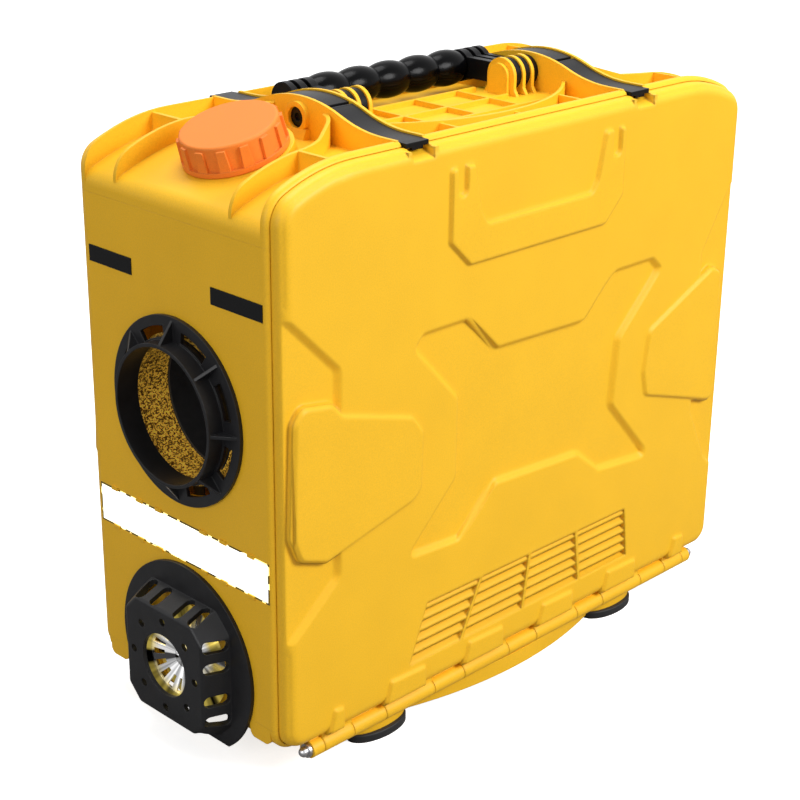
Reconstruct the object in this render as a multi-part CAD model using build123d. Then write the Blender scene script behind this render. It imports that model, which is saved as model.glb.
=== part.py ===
"""A portable diesel air heater built into a carrying case, at its real size in millimetres.

X runs along the case: the hot air leaves at -X. The hinged doors face -Y and +Y. Z is up.
The origin is on the floor, under the middle of the whole object.
"""

from build123d import *
import os
from math import asin, cos, degrees, radians, sin

os.makedirs("parts", exist_ok=True)

# ---------------------------------------------------------------- driving dimensions
HALF_LENGTH = 217.9  # end wall's outer face
HALF_WIDTH = 85.5  # plane where a door meets the case
REACH = 237.9  # the exhaust guard and the knob stand out to here
SHELL = 2.9  # moulded wall
RIM = 3.1  # the case's rim shows this wide around each door
SEAM_GAP = 0.4
SEAT_DEPTH = 3.0  # the door's skirt goes this far into the rim
LEDGE = 2.0  # wall behind the skirt

DOOR_BOTTOM = 26.8
CORNER_R = 14.0  # lower corners of the door
SHOULDER_Z = 360.0  # the door's straight side ends here
SHOULDER_R = 17.5
SHOULDER_SLOPE = 25.0  # degrees left when the shoulder joins the long top arc
TOP_ARC_R = 123.0
DOOR_BULGE = 9.0  # the door's face stands this far out of the seam plane
DOOR_EDGE_R = 8.0

DECK_Z = 379.0  # top deck between the rims
DECK_END_Z = 359.5  # where the deck would meet an end wall without its rounding
DECK_END_R = 11.0

HINGE_Y = 3.0  # hinge pin, outside the seam plane
HINGE_Z = 20.0
BARREL_R = 5.75
PIN_R = 2.5
PIN_HALF_LENGTH = 197.0
RUNNING_GAP = 0.05  # radial, between a pin and what turns on it
FACE_GAP = 0.4  # between parts that slide past each other endways

BELLY_Z = 2.6  # underside of the case between the feet
BASE_TOP = 41.0  # the case's base ends here, where its lower corners turn straight
TOP_FOOT = 348.0  # the case's top begins here, below its rounded ends
FOOT_HEIGHT = 5.5
FOOT_LENGTH = 49.0
FOOT_WIDTH = 24.6
FOOT_X = (-123.4, 114.1)
FOOT_Y = 77.0

STRAP_X = 104.15  # a latch strap runs over the top in an arch here
STRAP_WIDTH = 18.5
ARCH_WALL = 2.4
ARCH_TOP = 404.3
ARCH_FOOT = 391.0
ARCH_SPAN = 70.0  # the arch has come down to the rim at this distance
STRAP_THICKNESS = 3.2
STRAP_GAP = 0.5  # beside a strap
STRAP_FLOOR = 385.4  # the rim is cut down to here under a strap
LATCH_PIVOT = (24.0, 397.6)  # distance from the middle, and height, of a latch's own hinge
LATCH_KNUCKLE_R = 2.6
TRUNNION_R = 1.8
TRUNNION_REACH = 1.9

AXLE_Z = 391.5
AXLE_R = 4.0
AXLE_HEAD_R = 6.2
AXLE_HEAD = 3.0
AXLE_BOSS_R = 9.6
AXLE_BOSS_X = 119.4
AXLE_SUNK = 2.0  # the head lies this deep in its boss
LUG_X = (67.15, 76.45, 85.15)
LUG_THICKNESS = 2.8
LUG_R = 12.0
LUG_BOSS = (3.0, 8.5)  # length and radius of the blind boss on the inmost lug
GRIP_REACH = 42.5
GRIP_R = 12.4
GRIP_HALF = 86.0

HEATER_Y = -2.0  # axis of the hot air path
HEATER_Z = 228.5
SPIGOT_R = 45.0  # takes a 90 mm flexible duct
SPIGOT_TIP = 231.1
SPIGOT_ROOT = 215.4  # its inner end
DUCT_HOLE_R = 54.0
FLANGE_R = 60.0
SCREW_R = 2.0

EXHAUST_Y = -3.0
EXHAUST_Z = 62.0
GUARD_R = 63.5

CAP_TILT = 18.1
CAP_X = -166.35  # middle of the cap's lower edge
CAP_Z = 378.6
CAP_HEIGHT = 18.3
CAP_TOP_R = 30.4
CAP_SKIRT_R = 32.7
CAP_LIP = 3.2
NECK_R = 23.0

LIGHT_Z = (127.6, 154.7)
LIGHT_HALF = 82.4

SHOULDER_SIN = sin(radians(SHOULDER_SLOPE))
SHOULDER_COS = cos(radians(SHOULDER_SLOPE))
SEAM_HALF = HALF_LENGTH - RIM
DOOR_TOP = SHOULDER_Z - (TOP_ARC_R - SHOULDER_R) * SHOULDER_COS + TOP_ARC_R
DOOR_FACE = HALF_WIDTH + DOOR_BULGE


# ---------------------------------------------------------------- helpers
def box(x0, x1, y0, y1, z0, z1):
    """A block between two corners."""
    middle = Pos((x0 + x1) / 2, (y0 + y1) / 2, (z0 + z1) / 2)
    return middle * Box(abs(x1 - x0), abs(y1 - y0), abs(z1 - z0))


def rod_x(x0, x1, radius, y=0.0, z=0.0):
    """A round bar along X."""
    bar = Cylinder(radius, abs(x1 - x0))
    return Pos((x0 + x1) / 2, y, z) * Rot(0, 90, 0) * bar


def tube_x(x0, x1, outer, inner, y=0.0, z=0.0):
    """A round tube along X."""
    return rod_x(x0, x1, outer, y, z) - rod_x(x0 - 1, x1 + 1, inner, y, z)


def cone_x(x0, r0, x1, r1, y=0.0, z=0.0):
    """A cone along X, of radius r0 at x0 and r1 at x1, where x0 is the lower."""
    return Pos((x0 + x1) / 2, y, z) * Rot(0, 90, 0) * Cone(r0, r1, x1 - x0)


def rod_z(z0, z1, radius, x=0.0, y=0.0):
    """An upright round bar."""
    return Pos(x, y, (z0 + z1) / 2) * Cylinder(radius, abs(z1 - z0))


def slab_y(outline_xz, y0, y1):
    """A flat XZ outline made solid between y0 and y1."""
    return extrude(Plane.XZ.offset(-y1) * outline_xz, y1 - y0)


def slab_x(outline_yz, x0, x1):
    """A flat YZ outline made solid between x0 and x1."""
    return extrude(Plane.YZ.offset(x0) * outline_yz, x1 - x0)


def slab_z(outline_xy, z0, z1):
    """A flat XY outline made solid between z0 and z1."""
    return extrude(Plane.XY.offset(z0) * outline_xy, z1 - z0)


def polygon(points):
    """A flat outline through points."""
    return make_face(Polyline(points, close=True))


def soft_polygon(points, radius):
    """A flat outline through points with every corner rounded."""
    face = polygon(points)
    return fillet(face.vertices(), radius)


def mirror_x(shape):
    """The same shape on the other side of the YZ plane."""
    return mirror(shape, about=Plane.YZ)


def mirror_y(shape):
    """The same shape on the other side of the XZ plane."""
    return mirror(shape, about=Plane.XZ)


def write(name, shape):
    """One STEP file for one sub-part."""
    solids = shape.solids()
    whole = solids[0] if len(solids) == 1 else Compound(children=list(solids))
    export_step(whole, f"parts/{name}.step")


# ---------------------------------------------------------------- shared outlines
def door_outline(out=0.0):
    """The door's outline in XZ, moved outwards by out."""
    side = SEAM_HALF + out
    floor = DOOR_BOTTOM - out
    low_x = SEAM_HALF - CORNER_R
    low_z = DOOR_BOTTOM + CORNER_R
    low_r = CORNER_R + out
    knee_x = SEAM_HALF - SHOULDER_R
    knee_r = SHOULDER_R + out
    arc_x = knee_x - (TOP_ARC_R - SHOULDER_R) * SHOULDER_SIN
    arc_z = DOOR_TOP - TOP_ARC_R
    arc_r = TOP_ARC_R + out
    top = DOOR_TOP + out
    bend = 90 - SHOULDER_SLOPE
    edges = [
        Line((-low_x, floor), (low_x, floor)),
        CenterArc((low_x, low_z), low_r, -90, 90),
        Line((side, low_z), (side, SHOULDER_Z)),
        CenterArc((knee_x, SHOULDER_Z), knee_r, 0, bend),
        CenterArc((arc_x, arc_z), arc_r, bend, SHOULDER_SLOPE),
        Line((arc_x, top), (-arc_x, top)),
        CenterArc((-arc_x, arc_z), arc_r, 90, SHOULDER_SLOPE),
        CenterArc((-knee_x, SHOULDER_Z), knee_r, 90 + SHOULDER_SLOPE, bend),
        Line((-side, SHOULDER_Z), (-side, low_z)),
        CenterArc((-low_x, low_z), low_r, 180, 90),
    ]
    return make_face(edges)


def deck_region(drop=0.0):
    """Everything in XZ that lies under the top deck lowered by drop."""
    flat = 118.0
    bend_x = 179.0
    bend_z = 373.4
    end_z = DECK_END_Z - drop
    edges = [
        Line((-HALF_LENGTH, -5), (HALF_LENGTH, -5)),
        Line((HALF_LENGTH, -5), (HALF_LENGTH, end_z)),
        ThreePointArc((HALF_LENGTH, end_z), (bend_x, bend_z - drop), (flat, DECK_Z - drop)),
        Line((flat, DECK_Z - drop), (-flat, DECK_Z - drop)),
        ThreePointArc((-flat, DECK_Z - drop), (-bend_x, bend_z - drop), (-HALF_LENGTH, end_z)),
        Line((-HALF_LENGTH, end_z), (-HALF_LENGTH, -5)),
    ]
    face = make_face(edges)
    corners = [v for v in face.vertices() if abs(abs(v.X) - HALF_LENGTH) < 0.1 and v.Y > 0]
    rounded = fillet(corners, DECK_END_R)
    return rounded + Pos(0, 150) * Rectangle(2 * HALF_LENGTH + 20, 300)


def arch_edges(drop, end):
    """The arch's top line in YZ lowered by drop, from -end to end: two bends up, one crown."""
    rise = ARCH_TOP - ARCH_FOOT
    bend_r = (ARCH_SPAN**2 + rise**2) / (4 * rise)
    lean = degrees(asin(ARCH_SPAN / 2 / bend_r))
    crown_r = bend_r - drop
    dip_r = bend_r + drop
    crown_z = ARCH_TOP - bend_r
    dip_z = ARCH_FOOT + bend_r
    foot = ARCH_FOOT - drop
    return [
        Line((-end, foot), (-ARCH_SPAN, foot)),
        CenterArc((-ARCH_SPAN, dip_z), dip_r, 270, lean),
        CenterArc((0, crown_z), crown_r, 90 - lean, 2 * lean),
        CenterArc((ARCH_SPAN, dip_z), dip_r, 270 - lean, lean),
        Line((ARCH_SPAN, foot), (end, foot)),
    ]


# ---------------------------------------------------------------- case
HINGE_PITCH = 73.2
HINGE_SHIFT = 1.6
CASE_KNUCKLE = 28.0
END_KNUCKLE = (184.8, 193.6)
NEAR_END = 18.0  # length of the door knuckle beside each end knuckle


def case_knuckles():
    """X ranges of the case's own hinge knuckles, left to right."""
    ranges = [(-END_KNUCKLE[1], -END_KNUCKLE[0])]
    for step in range(-2, 3):
        middle = HINGE_SHIFT + step * HINGE_PITCH
        ranges.append((middle - CASE_KNUCKLE / 2, middle + CASE_KNUCKLE / 2))
    ranges.append((END_KNUCKLE[0], END_KNUCKLE[1]))
    return ranges


def door_knuckles():
    """X ranges of a door's knuckles, which fill the gaps between the case's."""
    fixed = case_knuckles()
    ranges = []
    for left, right in zip(fixed, fixed[1:]):
        ranges.append((left[1] + FACE_GAP, right[0] - FACE_GAP))
    return ranges


def floor_pan():
    """Floor pan, its bulging lips under the doors and the bosses for the feet."""
    slope_top = 26.0
    ends = polygon([(-200, slope_top), (-163, BELLY_Z), (163, BELLY_Z), (200, slope_top)])
    front = HALF_WIDTH - 8
    pan = slab_y(ends, -front, front)
    lip_out = 5.9
    lip_r = 325.0
    lip_half = 96.0
    middle_y = -(HALF_WIDTH + lip_out) + lip_r
    lip = rod_z(BELLY_Z, HINGE_Z - BARREL_R - 0.3, lip_r, 0, middle_y)
    lip = lip & box(-lip_half, lip_half, -HALF_WIDTH - 8, -front + 6, 0, 20)
    pan = pan + lip + mirror_y(lip)
    for x in FOOT_X:
        for side in (-1, 1):
            boss = slab_z(Ellipse(FOOT_LENGTH / 2 - 0.5, FOOT_WIDTH / 2 - 3), FOOT_HEIGHT, 24)
            pan += Pos(x, side * FOOT_Y, 0) * boss
    return pan


def pan_hollow():
    """The space inside the floor pan, open upwards."""
    ends = polygon([(-196, 30), (-160, BELLY_Z + 3), (160, BELLY_Z + 3), (196, 30)])
    inside = slab_y(ends, -HALF_WIDTH + 11, HALF_WIDTH - 11)
    for x in FOOT_X:
        for side in (-1, 1):
            keep = slab_z(Ellipse(FOOT_LENGTH / 2, FOOT_WIDTH / 2), 0, 20)
            inside -= Pos(x, side * FOOT_Y, 0) * keep
    return inside


def arch_wall(x0, x1):
    """One wall of an arch, across the whole top between the rims."""
    end = HALF_WIDTH - 3
    edges = arch_edges(0, end)
    edges.append(Line((end, ARCH_FOOT), (end, DECK_Z - 2)))
    edges.append(Line((end, DECK_Z - 2), (-end, DECK_Z - 2)))
    edges.append(Line((-end, DECK_Z - 2), (-end, ARCH_FOOT)))
    return slab_x(make_face(edges), x0, x1)


def lug_plate(x):
    """A round-topped plate with a flared foot that carries the handle's axle."""
    x0 = x - LUG_THICKNESS / 2
    x1 = x + LUG_THICKNESS / 2
    flare = LUG_R + 3.5
    foot = [(-flare, DECK_Z - 1), (flare, DECK_Z - 1), (LUG_R, DECK_Z + 4.5), (-LUG_R, DECK_Z + 4.5)]
    plate = slab_x(polygon(foot), x0, x1) + box(x0, x1, -LUG_R, LUG_R, DECK_Z, AXLE_Z)
    return plate + rod_x(x0, x1, LUG_R, 0, AXLE_Z)


def handle_lugs():
    """Plates and bosses for one handle axle, on the +X side."""
    lugs = Part()
    for x in LUG_X:
        lugs += lug_plate(x)
    inner = LUG_X[0] - LUG_THICKNESS / 2
    length, radius = LUG_BOSS
    lugs += rod_x(inner - length, inner, radius, 0, AXLE_Z)
    lugs += box(inner - length, inner, -radius, radius, DECK_Z - 2, AXLE_Z)
    outer = STRAP_X + STRAP_WIDTH / 2 + STRAP_GAP
    lugs += rod_x(outer, AXLE_BOSS_X, AXLE_BOSS_R, 0, AXLE_Z)
    spread = [
        (outer, DECK_Z - 4), (AXLE_BOSS_X + 4.0, DECK_Z - 4),
        (AXLE_BOSS_X, AXLE_Z - AXLE_HEAD_R), (outer, AXLE_Z - AXLE_HEAD_R),
    ]
    return lugs + slab_y(polygon(spread), -AXLE_BOSS_R, AXLE_BOSS_R)


RIB = 2.4
RIB_Y = 53.0
RIB_DROP = 1.6  # the end ribs follow the rim's outline this much lower
CROSS_RIB_X = 164.5


def end_bay_ribs():
    """Ribs between an end wall and an arch, on the +X side, front half."""
    arch = STRAP_X + STRAP_WIDTH / 2 + STRAP_GAP + ARCH_WALL
    straight = Line((HALF_LENGTH, -RIB_Y), (CROSS_RIB_X, -RIB_Y))
    way = [(CROSS_RIB_X, -RIB_Y), (145, -46.5), (127.5, -36.0), (arch, -22.0)]
    bend = Spline(*way, tangents=((-1, 0), (-0.2, 1)))
    plan = trace(straight, RIB) + trace(bend, RIB)
    tall = slab_z(plan, DECK_END_Z - 20, ARCH_TOP + 4)
    low = slab_y(door_outline(RIM - RIB_DROP), -HALF_WIDTH, HALF_WIDTH)
    start = CROSS_RIB_X - 10
    climb = polygon([(start, 384), (arch, 397), (arch - 2, 397), (arch - 2, 380), (start, 380)])
    ribs = tall & (low + slab_y(climb, -HALF_WIDTH, HALF_WIDTH))
    half = RIB / 2
    cross = box(CROSS_RIB_X - half, CROSS_RIB_X + half, -HALF_WIDTH + 4, -RIB_Y, DECK_END_Z, ARCH_TOP)
    return ribs + (cross & low)


def centre_bay_ribs():
    """Bowed front rib, its cross ribs and the low ribs on the deck."""
    inner = STRAP_X - STRAP_WIDTH / 2 - 1
    front = -67.3
    bow = [(-inner, -31.5), (0, front), (inner, -31.5)]
    half = RIB / 2
    plan = trace(ThreePointArc(*bow), RIB)
    ribs = slab_z(plan, DECK_Z - 2, 389)
    for x in (-52.8, 4.2, 63.2):
        reach = front + (x / 129.0) ** 2 * 64
        ribs += box(x - half, x + half, -HALF_WIDTH + 4, reach, DECK_Z - 2, 387.5)
    low = 382.4
    for y, reach in ((-39.5, 62.0), (-13.5, 58.0), (16.0, 58.0)):
        ribs += box(-reach, reach, y - half, y + half, DECK_Z - 2, low)
    for x in (-40, 0, 40):
        ribs += box(x - half, x + half, -39.5, 16, DECK_Z - 2, low)
    return ribs


WELL = (-90.0, 90.0, 24.0, 62.0)  # sunk place under the folded grip
WELL_Z = 373.5


def cap_place():
    """The filler cap's own frame: Z along its leaning axis, from its lower edge."""
    return Pos(CAP_X, 0, CAP_Z) * Rot(0, -CAP_TILT, 0)


def end_fittings(case):
    """Openings and pockets in the two end walls."""
    left = -HALF_LENGTH
    right = HALF_LENGTH
    case -= rod_x(left - 2, left + 8, DUCT_HOLE_R, HEATER_Y, HEATER_Z)
    case -= rod_x(left - 2, left + 12, 37, EXHAUST_Y, EXHAUST_Z)
    low, high = LIGHT_Z
    case -= box(left - 1, left + 1.5, -LIGHT_HALF, LIGHT_HALF, low, high)
    case -= box(left - 1, left + 6, -LIGHT_HALF + 6, LIGHT_HALF - 6, low + 2, high - 2)
    for y0, y1 in PLUG_Y:
        case -= box(left - 1, left + 2, y0, y1, *PLUG_Z)
        case -= box(left - 1, left + 6, y0 + 4, y1 - 4, PLUG_Z[0] + 2, PLUG_Z[1] - 2)
    case -= rod_x(right - 8, right + 2, INLET_R, HEATER_Y, HEATER_Z)
    y0, y1, z0, z1 = PANEL
    case -= box(right - 8, right + 2, y0 + 5, y1 - 5, z0 + 5, z1 - 5)
    case -= box(right - 8, right + 2, SWITCH_Y - 8, SWITCH_Y + 8, SOCKET_Z - 12, SOCKET_Z + 12)
    case -= box(right - 8, right + 2, SOCKET_Y - 12, SOCKET_Y + 12, SOCKET_Z - 9, SOCKET_Z + 9)
    return case


PLUG_Y = ((-81.4, -36.1), (38.0, 80.2))
PLUG_Z = (304.4, 315.0)
PLUG_DEPTH = 2.0
INLET_R = 54.0
PANEL = (-56.0, 56.0, 296.0, 348.0)
SWITCH_Y = 30.0
SOCKET_Y = -30.0
SOCKET_Z = 92.0
CLIP_Y = (-66.5, -41.0, -22.0, 22.0, 41.0, 66.5)


def end_aprons():
    """Flat end walls carried down between the rims, on the +X side, cut out in the middle."""
    bottom = 29.5
    gap = 62.0
    gap_top = 39.0
    top = 60.0
    half = HALF_WIDTH - 5
    outline = [
        (-half, top), (-half, bottom), (-gap, bottom), (-gap, gap_top),
        (gap, gap_top), (gap, bottom), (half, bottom), (half, top),
    ]
    return slab_x(soft_polygon(outline, 4.5), HALF_LENGTH - 6, HALF_LENGTH)


def light_clips():
    """Small clips of the case along both edges of the light."""
    clips = Part()
    for y in CLIP_Y:
        for z in LIGHT_Z:
            clips += box(-HALF_LENGTH - 0.9, -HALF_LENGTH + 1.4, y - 3, y + 3, z - 1.2, z + 1.2)
    return clips


def case_shell():
    """The case whole: end walls, top deck with arches, lugs and ribs, floor pan and knuckles."""
    outer = slab_y(door_outline(RIM), -HALF_WIDTH, HALF_WIDTH)
    rim_edges = outer.faces().sort_by(Axis.Y)[0].edges() + outer.faces().sort_by(Axis.Y)[-1].edges()
    outer = fillet(rim_edges, 4.4)
    inside_y = HALF_WIDTH - SEAT_DEPTH - LEDGE
    pocket = box(-240, 240, -inside_y, inside_y, 330, 430) - slab_y(deck_region(), -90, 90)
    case = outer - pocket
    case += mirror_x(end_aprons()) + end_aprons()
    case += floor_pan()
    cavity = slab_y(door_outline(0.2) & deck_region(SHELL), -inside_y, inside_y)
    opening = slab_y(door_outline(-6) & deck_region(SHELL + 2), inside_y - 0.01, HALF_WIDTH + 1)
    seat = slab_y(door_outline(0.25), HALF_WIDTH - SEAT_DEPTH, HALF_WIDTH + 1)
    x0, x1, y0, y1 = WELL
    well_block = box(x0 - SHELL, x1 + SHELL, y0 - SHELL, y1 + SHELL, WELL_Z - SHELL, DECK_Z)
    case = case - (cavity - well_block) - opening - mirror_y(opening)
    case = case - seat - mirror_y(seat) - pan_hollow()
    case -= box(x0, x1, y0, y1, WELL_Z, DECK_Z + 5)
    strap_gap = STRAP_WIDTH / 2 + STRAP_GAP
    pivot_y, pivot_z = LATCH_PIVOT
    hole_half = strap_gap + TRUNNION_REACH
    hole = rod_x(-hole_half, hole_half, TRUNNION_R + RUNNING_GAP, pivot_y, pivot_z)
    for middle in (-STRAP_X, STRAP_X):
        case += arch_wall(middle - strap_gap - ARCH_WALL, middle - strap_gap)
        case += arch_wall(middle + strap_gap, middle + strap_gap + ARCH_WALL)
        case -= box(middle - strap_gap, middle + strap_gap, -HALF_WIDTH - 1, -60, STRAP_FLOOR, 395)
        case -= box(middle - strap_gap, middle + strap_gap, 60, HALF_WIDTH + 1, STRAP_FLOOR, 395)
    case += handle_lugs() + mirror_x(handle_lugs())
    front_ribs = end_bay_ribs() + mirror_x(end_bay_ribs())
    ribs = front_ribs + mirror_y(front_ribs) + centre_bay_ribs()
    case += ribs - slab_y(deck_region(1.5), -90, 90)
    for middle in (-STRAP_X, STRAP_X):
        case -= Pos(middle, 0, 0) * (hole + mirror_y(hole))
    head = AXLE_BOSS_X - AXLE_SUNK - AXLE_HEAD
    for sign in (-1, 1):
        case -= rod_x(sign * (LUG_X[0] - LUG_THICKNESS / 2), sign * 130, AXLE_R + 0.03, 0, AXLE_Z)
        case -= rod_x(sign * head, sign * 130, AXLE_HEAD_R + 0.3, 0, AXLE_Z)
    cap_at = cap_place()
    case += cap_at * (Pos(0, 0, -5) * Cylinder(CAP_SKIRT_R + 2.5, 9.2)) & slab_y(door_outline(RIM), -80, 80)
    case -= cap_at * (Pos(0, 0, 20 - FACE_GAP) * Cylinder(CAP_SKIRT_R + 1.0, 40))
    case -= cap_at * Cylinder(NECK_R + 0.5, 80)
    barrel = rod_x(-200, 200, BARREL_R + 0.5, -HALF_WIDTH - HINGE_Y, HINGE_Z)
    case -= barrel + mirror_y(barrel)
    for x0, x1 in case_knuckles():
        knuckle = rod_x(x0, x1, BARREL_R, -HALF_WIDTH - HINGE_Y, HINGE_Z)
        knuckle += box(x0, x1, -HALF_WIDTH - HINGE_Y, -HALF_WIDTH + 5, HINGE_Z - 3, 26.2)
        case += knuckle + mirror_y(knuckle)
    bore = rod_x(-210, 210, PIN_R + 0.03, -HALF_WIDTH - HINGE_Y, HINGE_Z)
    case -= bore + mirror_y(bore)
    case = end_fittings(case) + light_clips()
    for x in FOOT_X:
        for side in (-1, 1):
            recess = slab_z(Ellipse(FOOT_LENGTH / 2 + 0.4, FOOT_WIDTH / 2 + 0.4), 0, FOOT_HEIGHT)
            case -= Pos(x, side * FOOT_Y, 0) * recess
            case -= rod_z(FOOT_HEIGHT - 1, 18, SCREW_R, x, side * FOOT_Y)
    return case


def case_mouldings():
    """The case's four mouldings, flush where they meet: base, top and an end wall at each end."""
    whole = case_shell()
    end = HALF_LENGTH + 5
    side = HALF_WIDTH + 15
    return {
        "case_base": whole & box(-end, end, -side, side, 0, BASE_TOP),
        "case_top": whole & box(-end, end, -side, side, TOP_FOOT, ARCH_TOP + 5),
        "end_wall_left": whole & box(-end, 0, -side, side, BASE_TOP, TOP_FOOT),
        "end_wall_right": whole & box(0, end, -side, side, BASE_TOP, TOP_FOOT),
    }


# ---------------------------------------------------------------- doors
def relief(outline_xz, height, taper, base):
    """A raised or sunk area on the front door's face, with sloped sides."""
    if height > 0:
        start = Plane.XZ.offset(base - 0.6)
        return extrude(start * outline_xz, height + 0.6, taper=taper)
    start = Plane.XZ.offset(base + 0.01)
    return extrude(start * outline_xz, height - 0.01, taper=taper)


FACE_THICKNESS = 2.6
SUNK = 3.4
SUNK_TAPER = 46
PAD_HEIGHT = 2.0
NOTCH_HALF = 9.9

CROSS = [
    (-110.8, 264.4), (-102.4, 273.9), (-61.0, 274.0), (-35.3, 248.5), (50.9, 245.6),
    (79.0, 273.5), (122.9, 273.5), (134.1, 263.1), (91.0, 221.5), (86.8, 175.0),
    (128.5, 128.8), (125.5, 122.8), (74.4, 128.1), (51.3, 147.0), (-33.1, 151.9),
    (-64.0, 122.1), (-109.2, 125.2), (-112.5, 129.5), (-71.7, 168.9), (-71.4, 222.1),
]
LEFT_SCOOP = [(-232, 330), (-212.5, 310.2), (-170.4, 268.9), (-170.8, 133.4), (-211.1, 100.2), (-232, 84)]
RIGHT_SCOOP = [(232, 330), (207.0, 308.4), (179.5, 264.8), (179.5, 142.1), (201.0, 99.8), (232, 70)]
LEFT_PAD = [
    (-201.8, 253.3), (-177.6, 249.3), (-170.6, 241.2), (-111.1, 223.4), (-101.1, 210.2),
    (-102.2, 171.5), (-110.0, 164.8), (-183.6, 147.7), (-204.9, 155.4), (-211.7, 172.2), (-208.7, 244.3),
]
RIGHT_PAD = [
    (120.7, 221.2), (177.5, 245.9), (192.7, 252.5), (203.8, 246.0),
    (206.5, 160.0), (203.8, 144.7), (120.6, 171.2), (116.1, 190.9),
]
LOUVRE = [(-95.3, 88.0), (107.2, 88.0), (112.2, 50.0), (-110.8, 48.0)]
DIVIDERS = [((-43.2, 90), (-63.1, 46)), ((5.2, 90), (-1.2, 46)), ((53.5, 90), (59.6, 46))]
SLAT_PITCH = 7.3
TAB_TOP = 45.0
TABS = [(-182.8, -168.8), (-133.8, -95.8), (-60.8, -20.8), (14.2, 52.2), (85.2, 123.2), (164.2, 181.2)]


def pull_mark():
    """The raised U below the top edge, each arm split into two prongs."""
    outer = [
        (-83, 371.5), (-83, 325), (-65, 307.5), (65, 307.5), (83, 325), (83, 371.5),
        (61, 371.5), (54, 340), (49, 333), (-49, 333), (-54, 340), (-61, 371.5),
    ]
    mark = soft_polygon(outer, 3.5)
    for sign in (-1, 1):
        mark -= Pos(sign * 73, 366) * RectangleRounded(6, 24, 2.9)
    return mark


def louvre_slats(inner):
    """Slanted slats and dividers inside the louvre opening."""
    window = slab_y(polygon(LOUVRE), -DOOR_FACE, -inner)
    slats = Part()
    rows = 6
    for row in range(rows):
        low = 47.0 + row * SLAT_PITCH
        front = -DOOR_FACE + 0.6
        back = -inner - 0.2
        rise = 5.4
        outline = [(front, low), (front, low + 1.8), (back, low + rise + 1.8), (back, low + rise)]
        slats += slab_x(polygon(outline), -120, 120)
    for top, bottom in DIVIDERS:
        bar = trace(Line(top, bottom), 2.6)
        slats += slab_y(bar, -DOOR_FACE + 0.2, -inner)
    return slats & window


def front_door():
    """Front cover with its sunk cross, pads, louvre, hinge tabs and knuckles."""
    skirt_end = HALF_WIDTH - SEAT_DEPTH + SEAM_GAP
    door = slab_y(door_outline(-0.15), -DOOR_FACE, -skirt_end)
    door = fillet(door.faces().sort_by(Axis.Y)[0].edges(), DOOR_EDGE_R)
    for outline, corner in ((CROSS, 3.5), (LEFT_SCOOP, 8), (RIGHT_SCOOP, 8)):
        door -= relief(soft_polygon(outline, corner), -SUNK, SUNK_TAPER, DOOR_FACE)
    for outline in (LEFT_PAD, RIGHT_PAD):
        pad = soft_polygon(outline, 8)
        inside_edge = slab_y(door_outline(-6), -DOOR_FACE - 5, -DOOR_FACE + 2)
        door += relief(pad, PAD_HEIGHT, 42, DOOR_FACE) & inside_edge
        root = slab_y(pad, -DOOR_FACE, -DOOR_FACE + SUNK + 1)
        door += root & slab_y(door_outline(-3), -DOOR_FACE - 5, -DOOR_FACE + 6)
    door += relief(pull_mark(), 2.4, 30, DOOR_FACE)
    inner = DOOR_FACE - FACE_THICKNESS
    hollow = slab_y(door_outline(-3.1), -inner, -skirt_end + 1)
    backing_y = inner - SUNK
    backing = slab_y(offset(polygon(CROSS), 3), -inner, -backing_y)
    backing += slab_y(offset(polygon(LEFT_SCOOP), 3), -inner, -backing_y)
    backing += slab_y(offset(polygon(RIGHT_SCOOP), 3), -inner, -backing_y)
    frame = slab_y(offset(polygon(LOUVRE), 2.6) - polygon(LOUVRE), -inner, -inner + 5)
    door = door - (hollow - backing - frame)
    door -= slab_y(polygon(LOUVRE), -DOOR_FACE - 5, -inner + 6)
    door += louvre_slats(inner - 5)
    for x0, x1 in TABS:
        lean = 5.0
        top = [(x0, 28), (x0 + lean, TAB_TOP), (x1, TAB_TOP - 1), (x1, 28)]
        door += relief(soft_polygon(top, 2), PAD_HEIGHT, 30, DOOR_FACE)
        door += slab_y(polygon(top), -DOOR_FACE, -DOOR_FACE + 5) & slab_y(
            door_outline(-0.2), -DOOR_FACE - 5, -DOOR_FACE + 6
        )
    for x in (-STRAP_X, STRAP_X):
        back = -HALF_WIDTH + 4
        wedge = polygon([(-DOOR_FACE - 3, 378.5), (back, 385.0), (back, 400), (-DOOR_FACE - 3, 400)])
        skirt = -skirt_end - 0.1
        shelf = polygon([(-DOOR_FACE + 1, 376.5), (skirt, 381.5), (skirt, 386), (-DOOR_FACE + 1, 386)])
        under = slab_y(door_outline(-0.3), -DOOR_FACE + 1, -skirt_end)
        door += slab_x(shelf, x - NOTCH_HALF - 2.5, x + NOTCH_HALF + 2.5) & under
        sides = [(-NOTCH_HALF + 1.4, 376), (NOTCH_HALF - 1.4, 376), (NOTCH_HALF, 392), (-NOTCH_HALF, 392)]
        notch = Pos(x, 0, 0) * slab_y(polygon(sides), -DOOR_FACE - 3, -HALF_WIDTH + 4)
        door -= slab_x(wedge, x - 20, x + 20) & notch
    for x0, x1 in door_knuckles():
        knuckle = rod_x(x0, x1, BARREL_R, -HALF_WIDTH - HINGE_Y, HINGE_Z)
        knuckle += box(x0, x1, -HALF_WIDTH - 5.6, -HALF_WIDTH - 0.6, HINGE_Z, 28.5)
        door += knuckle
    door -= rod_x(-210, 210, PIN_R + RUNNING_GAP, -HALF_WIDTH - HINGE_Y, HINGE_Z)
    return door


def hinge_pin():
    """Long front hinge pin."""
    return rod_x(-PIN_HALF_LENGTH, PIN_HALF_LENGTH, PIN_R, -HALF_WIDTH - HINGE_Y, HINGE_Z)


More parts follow.
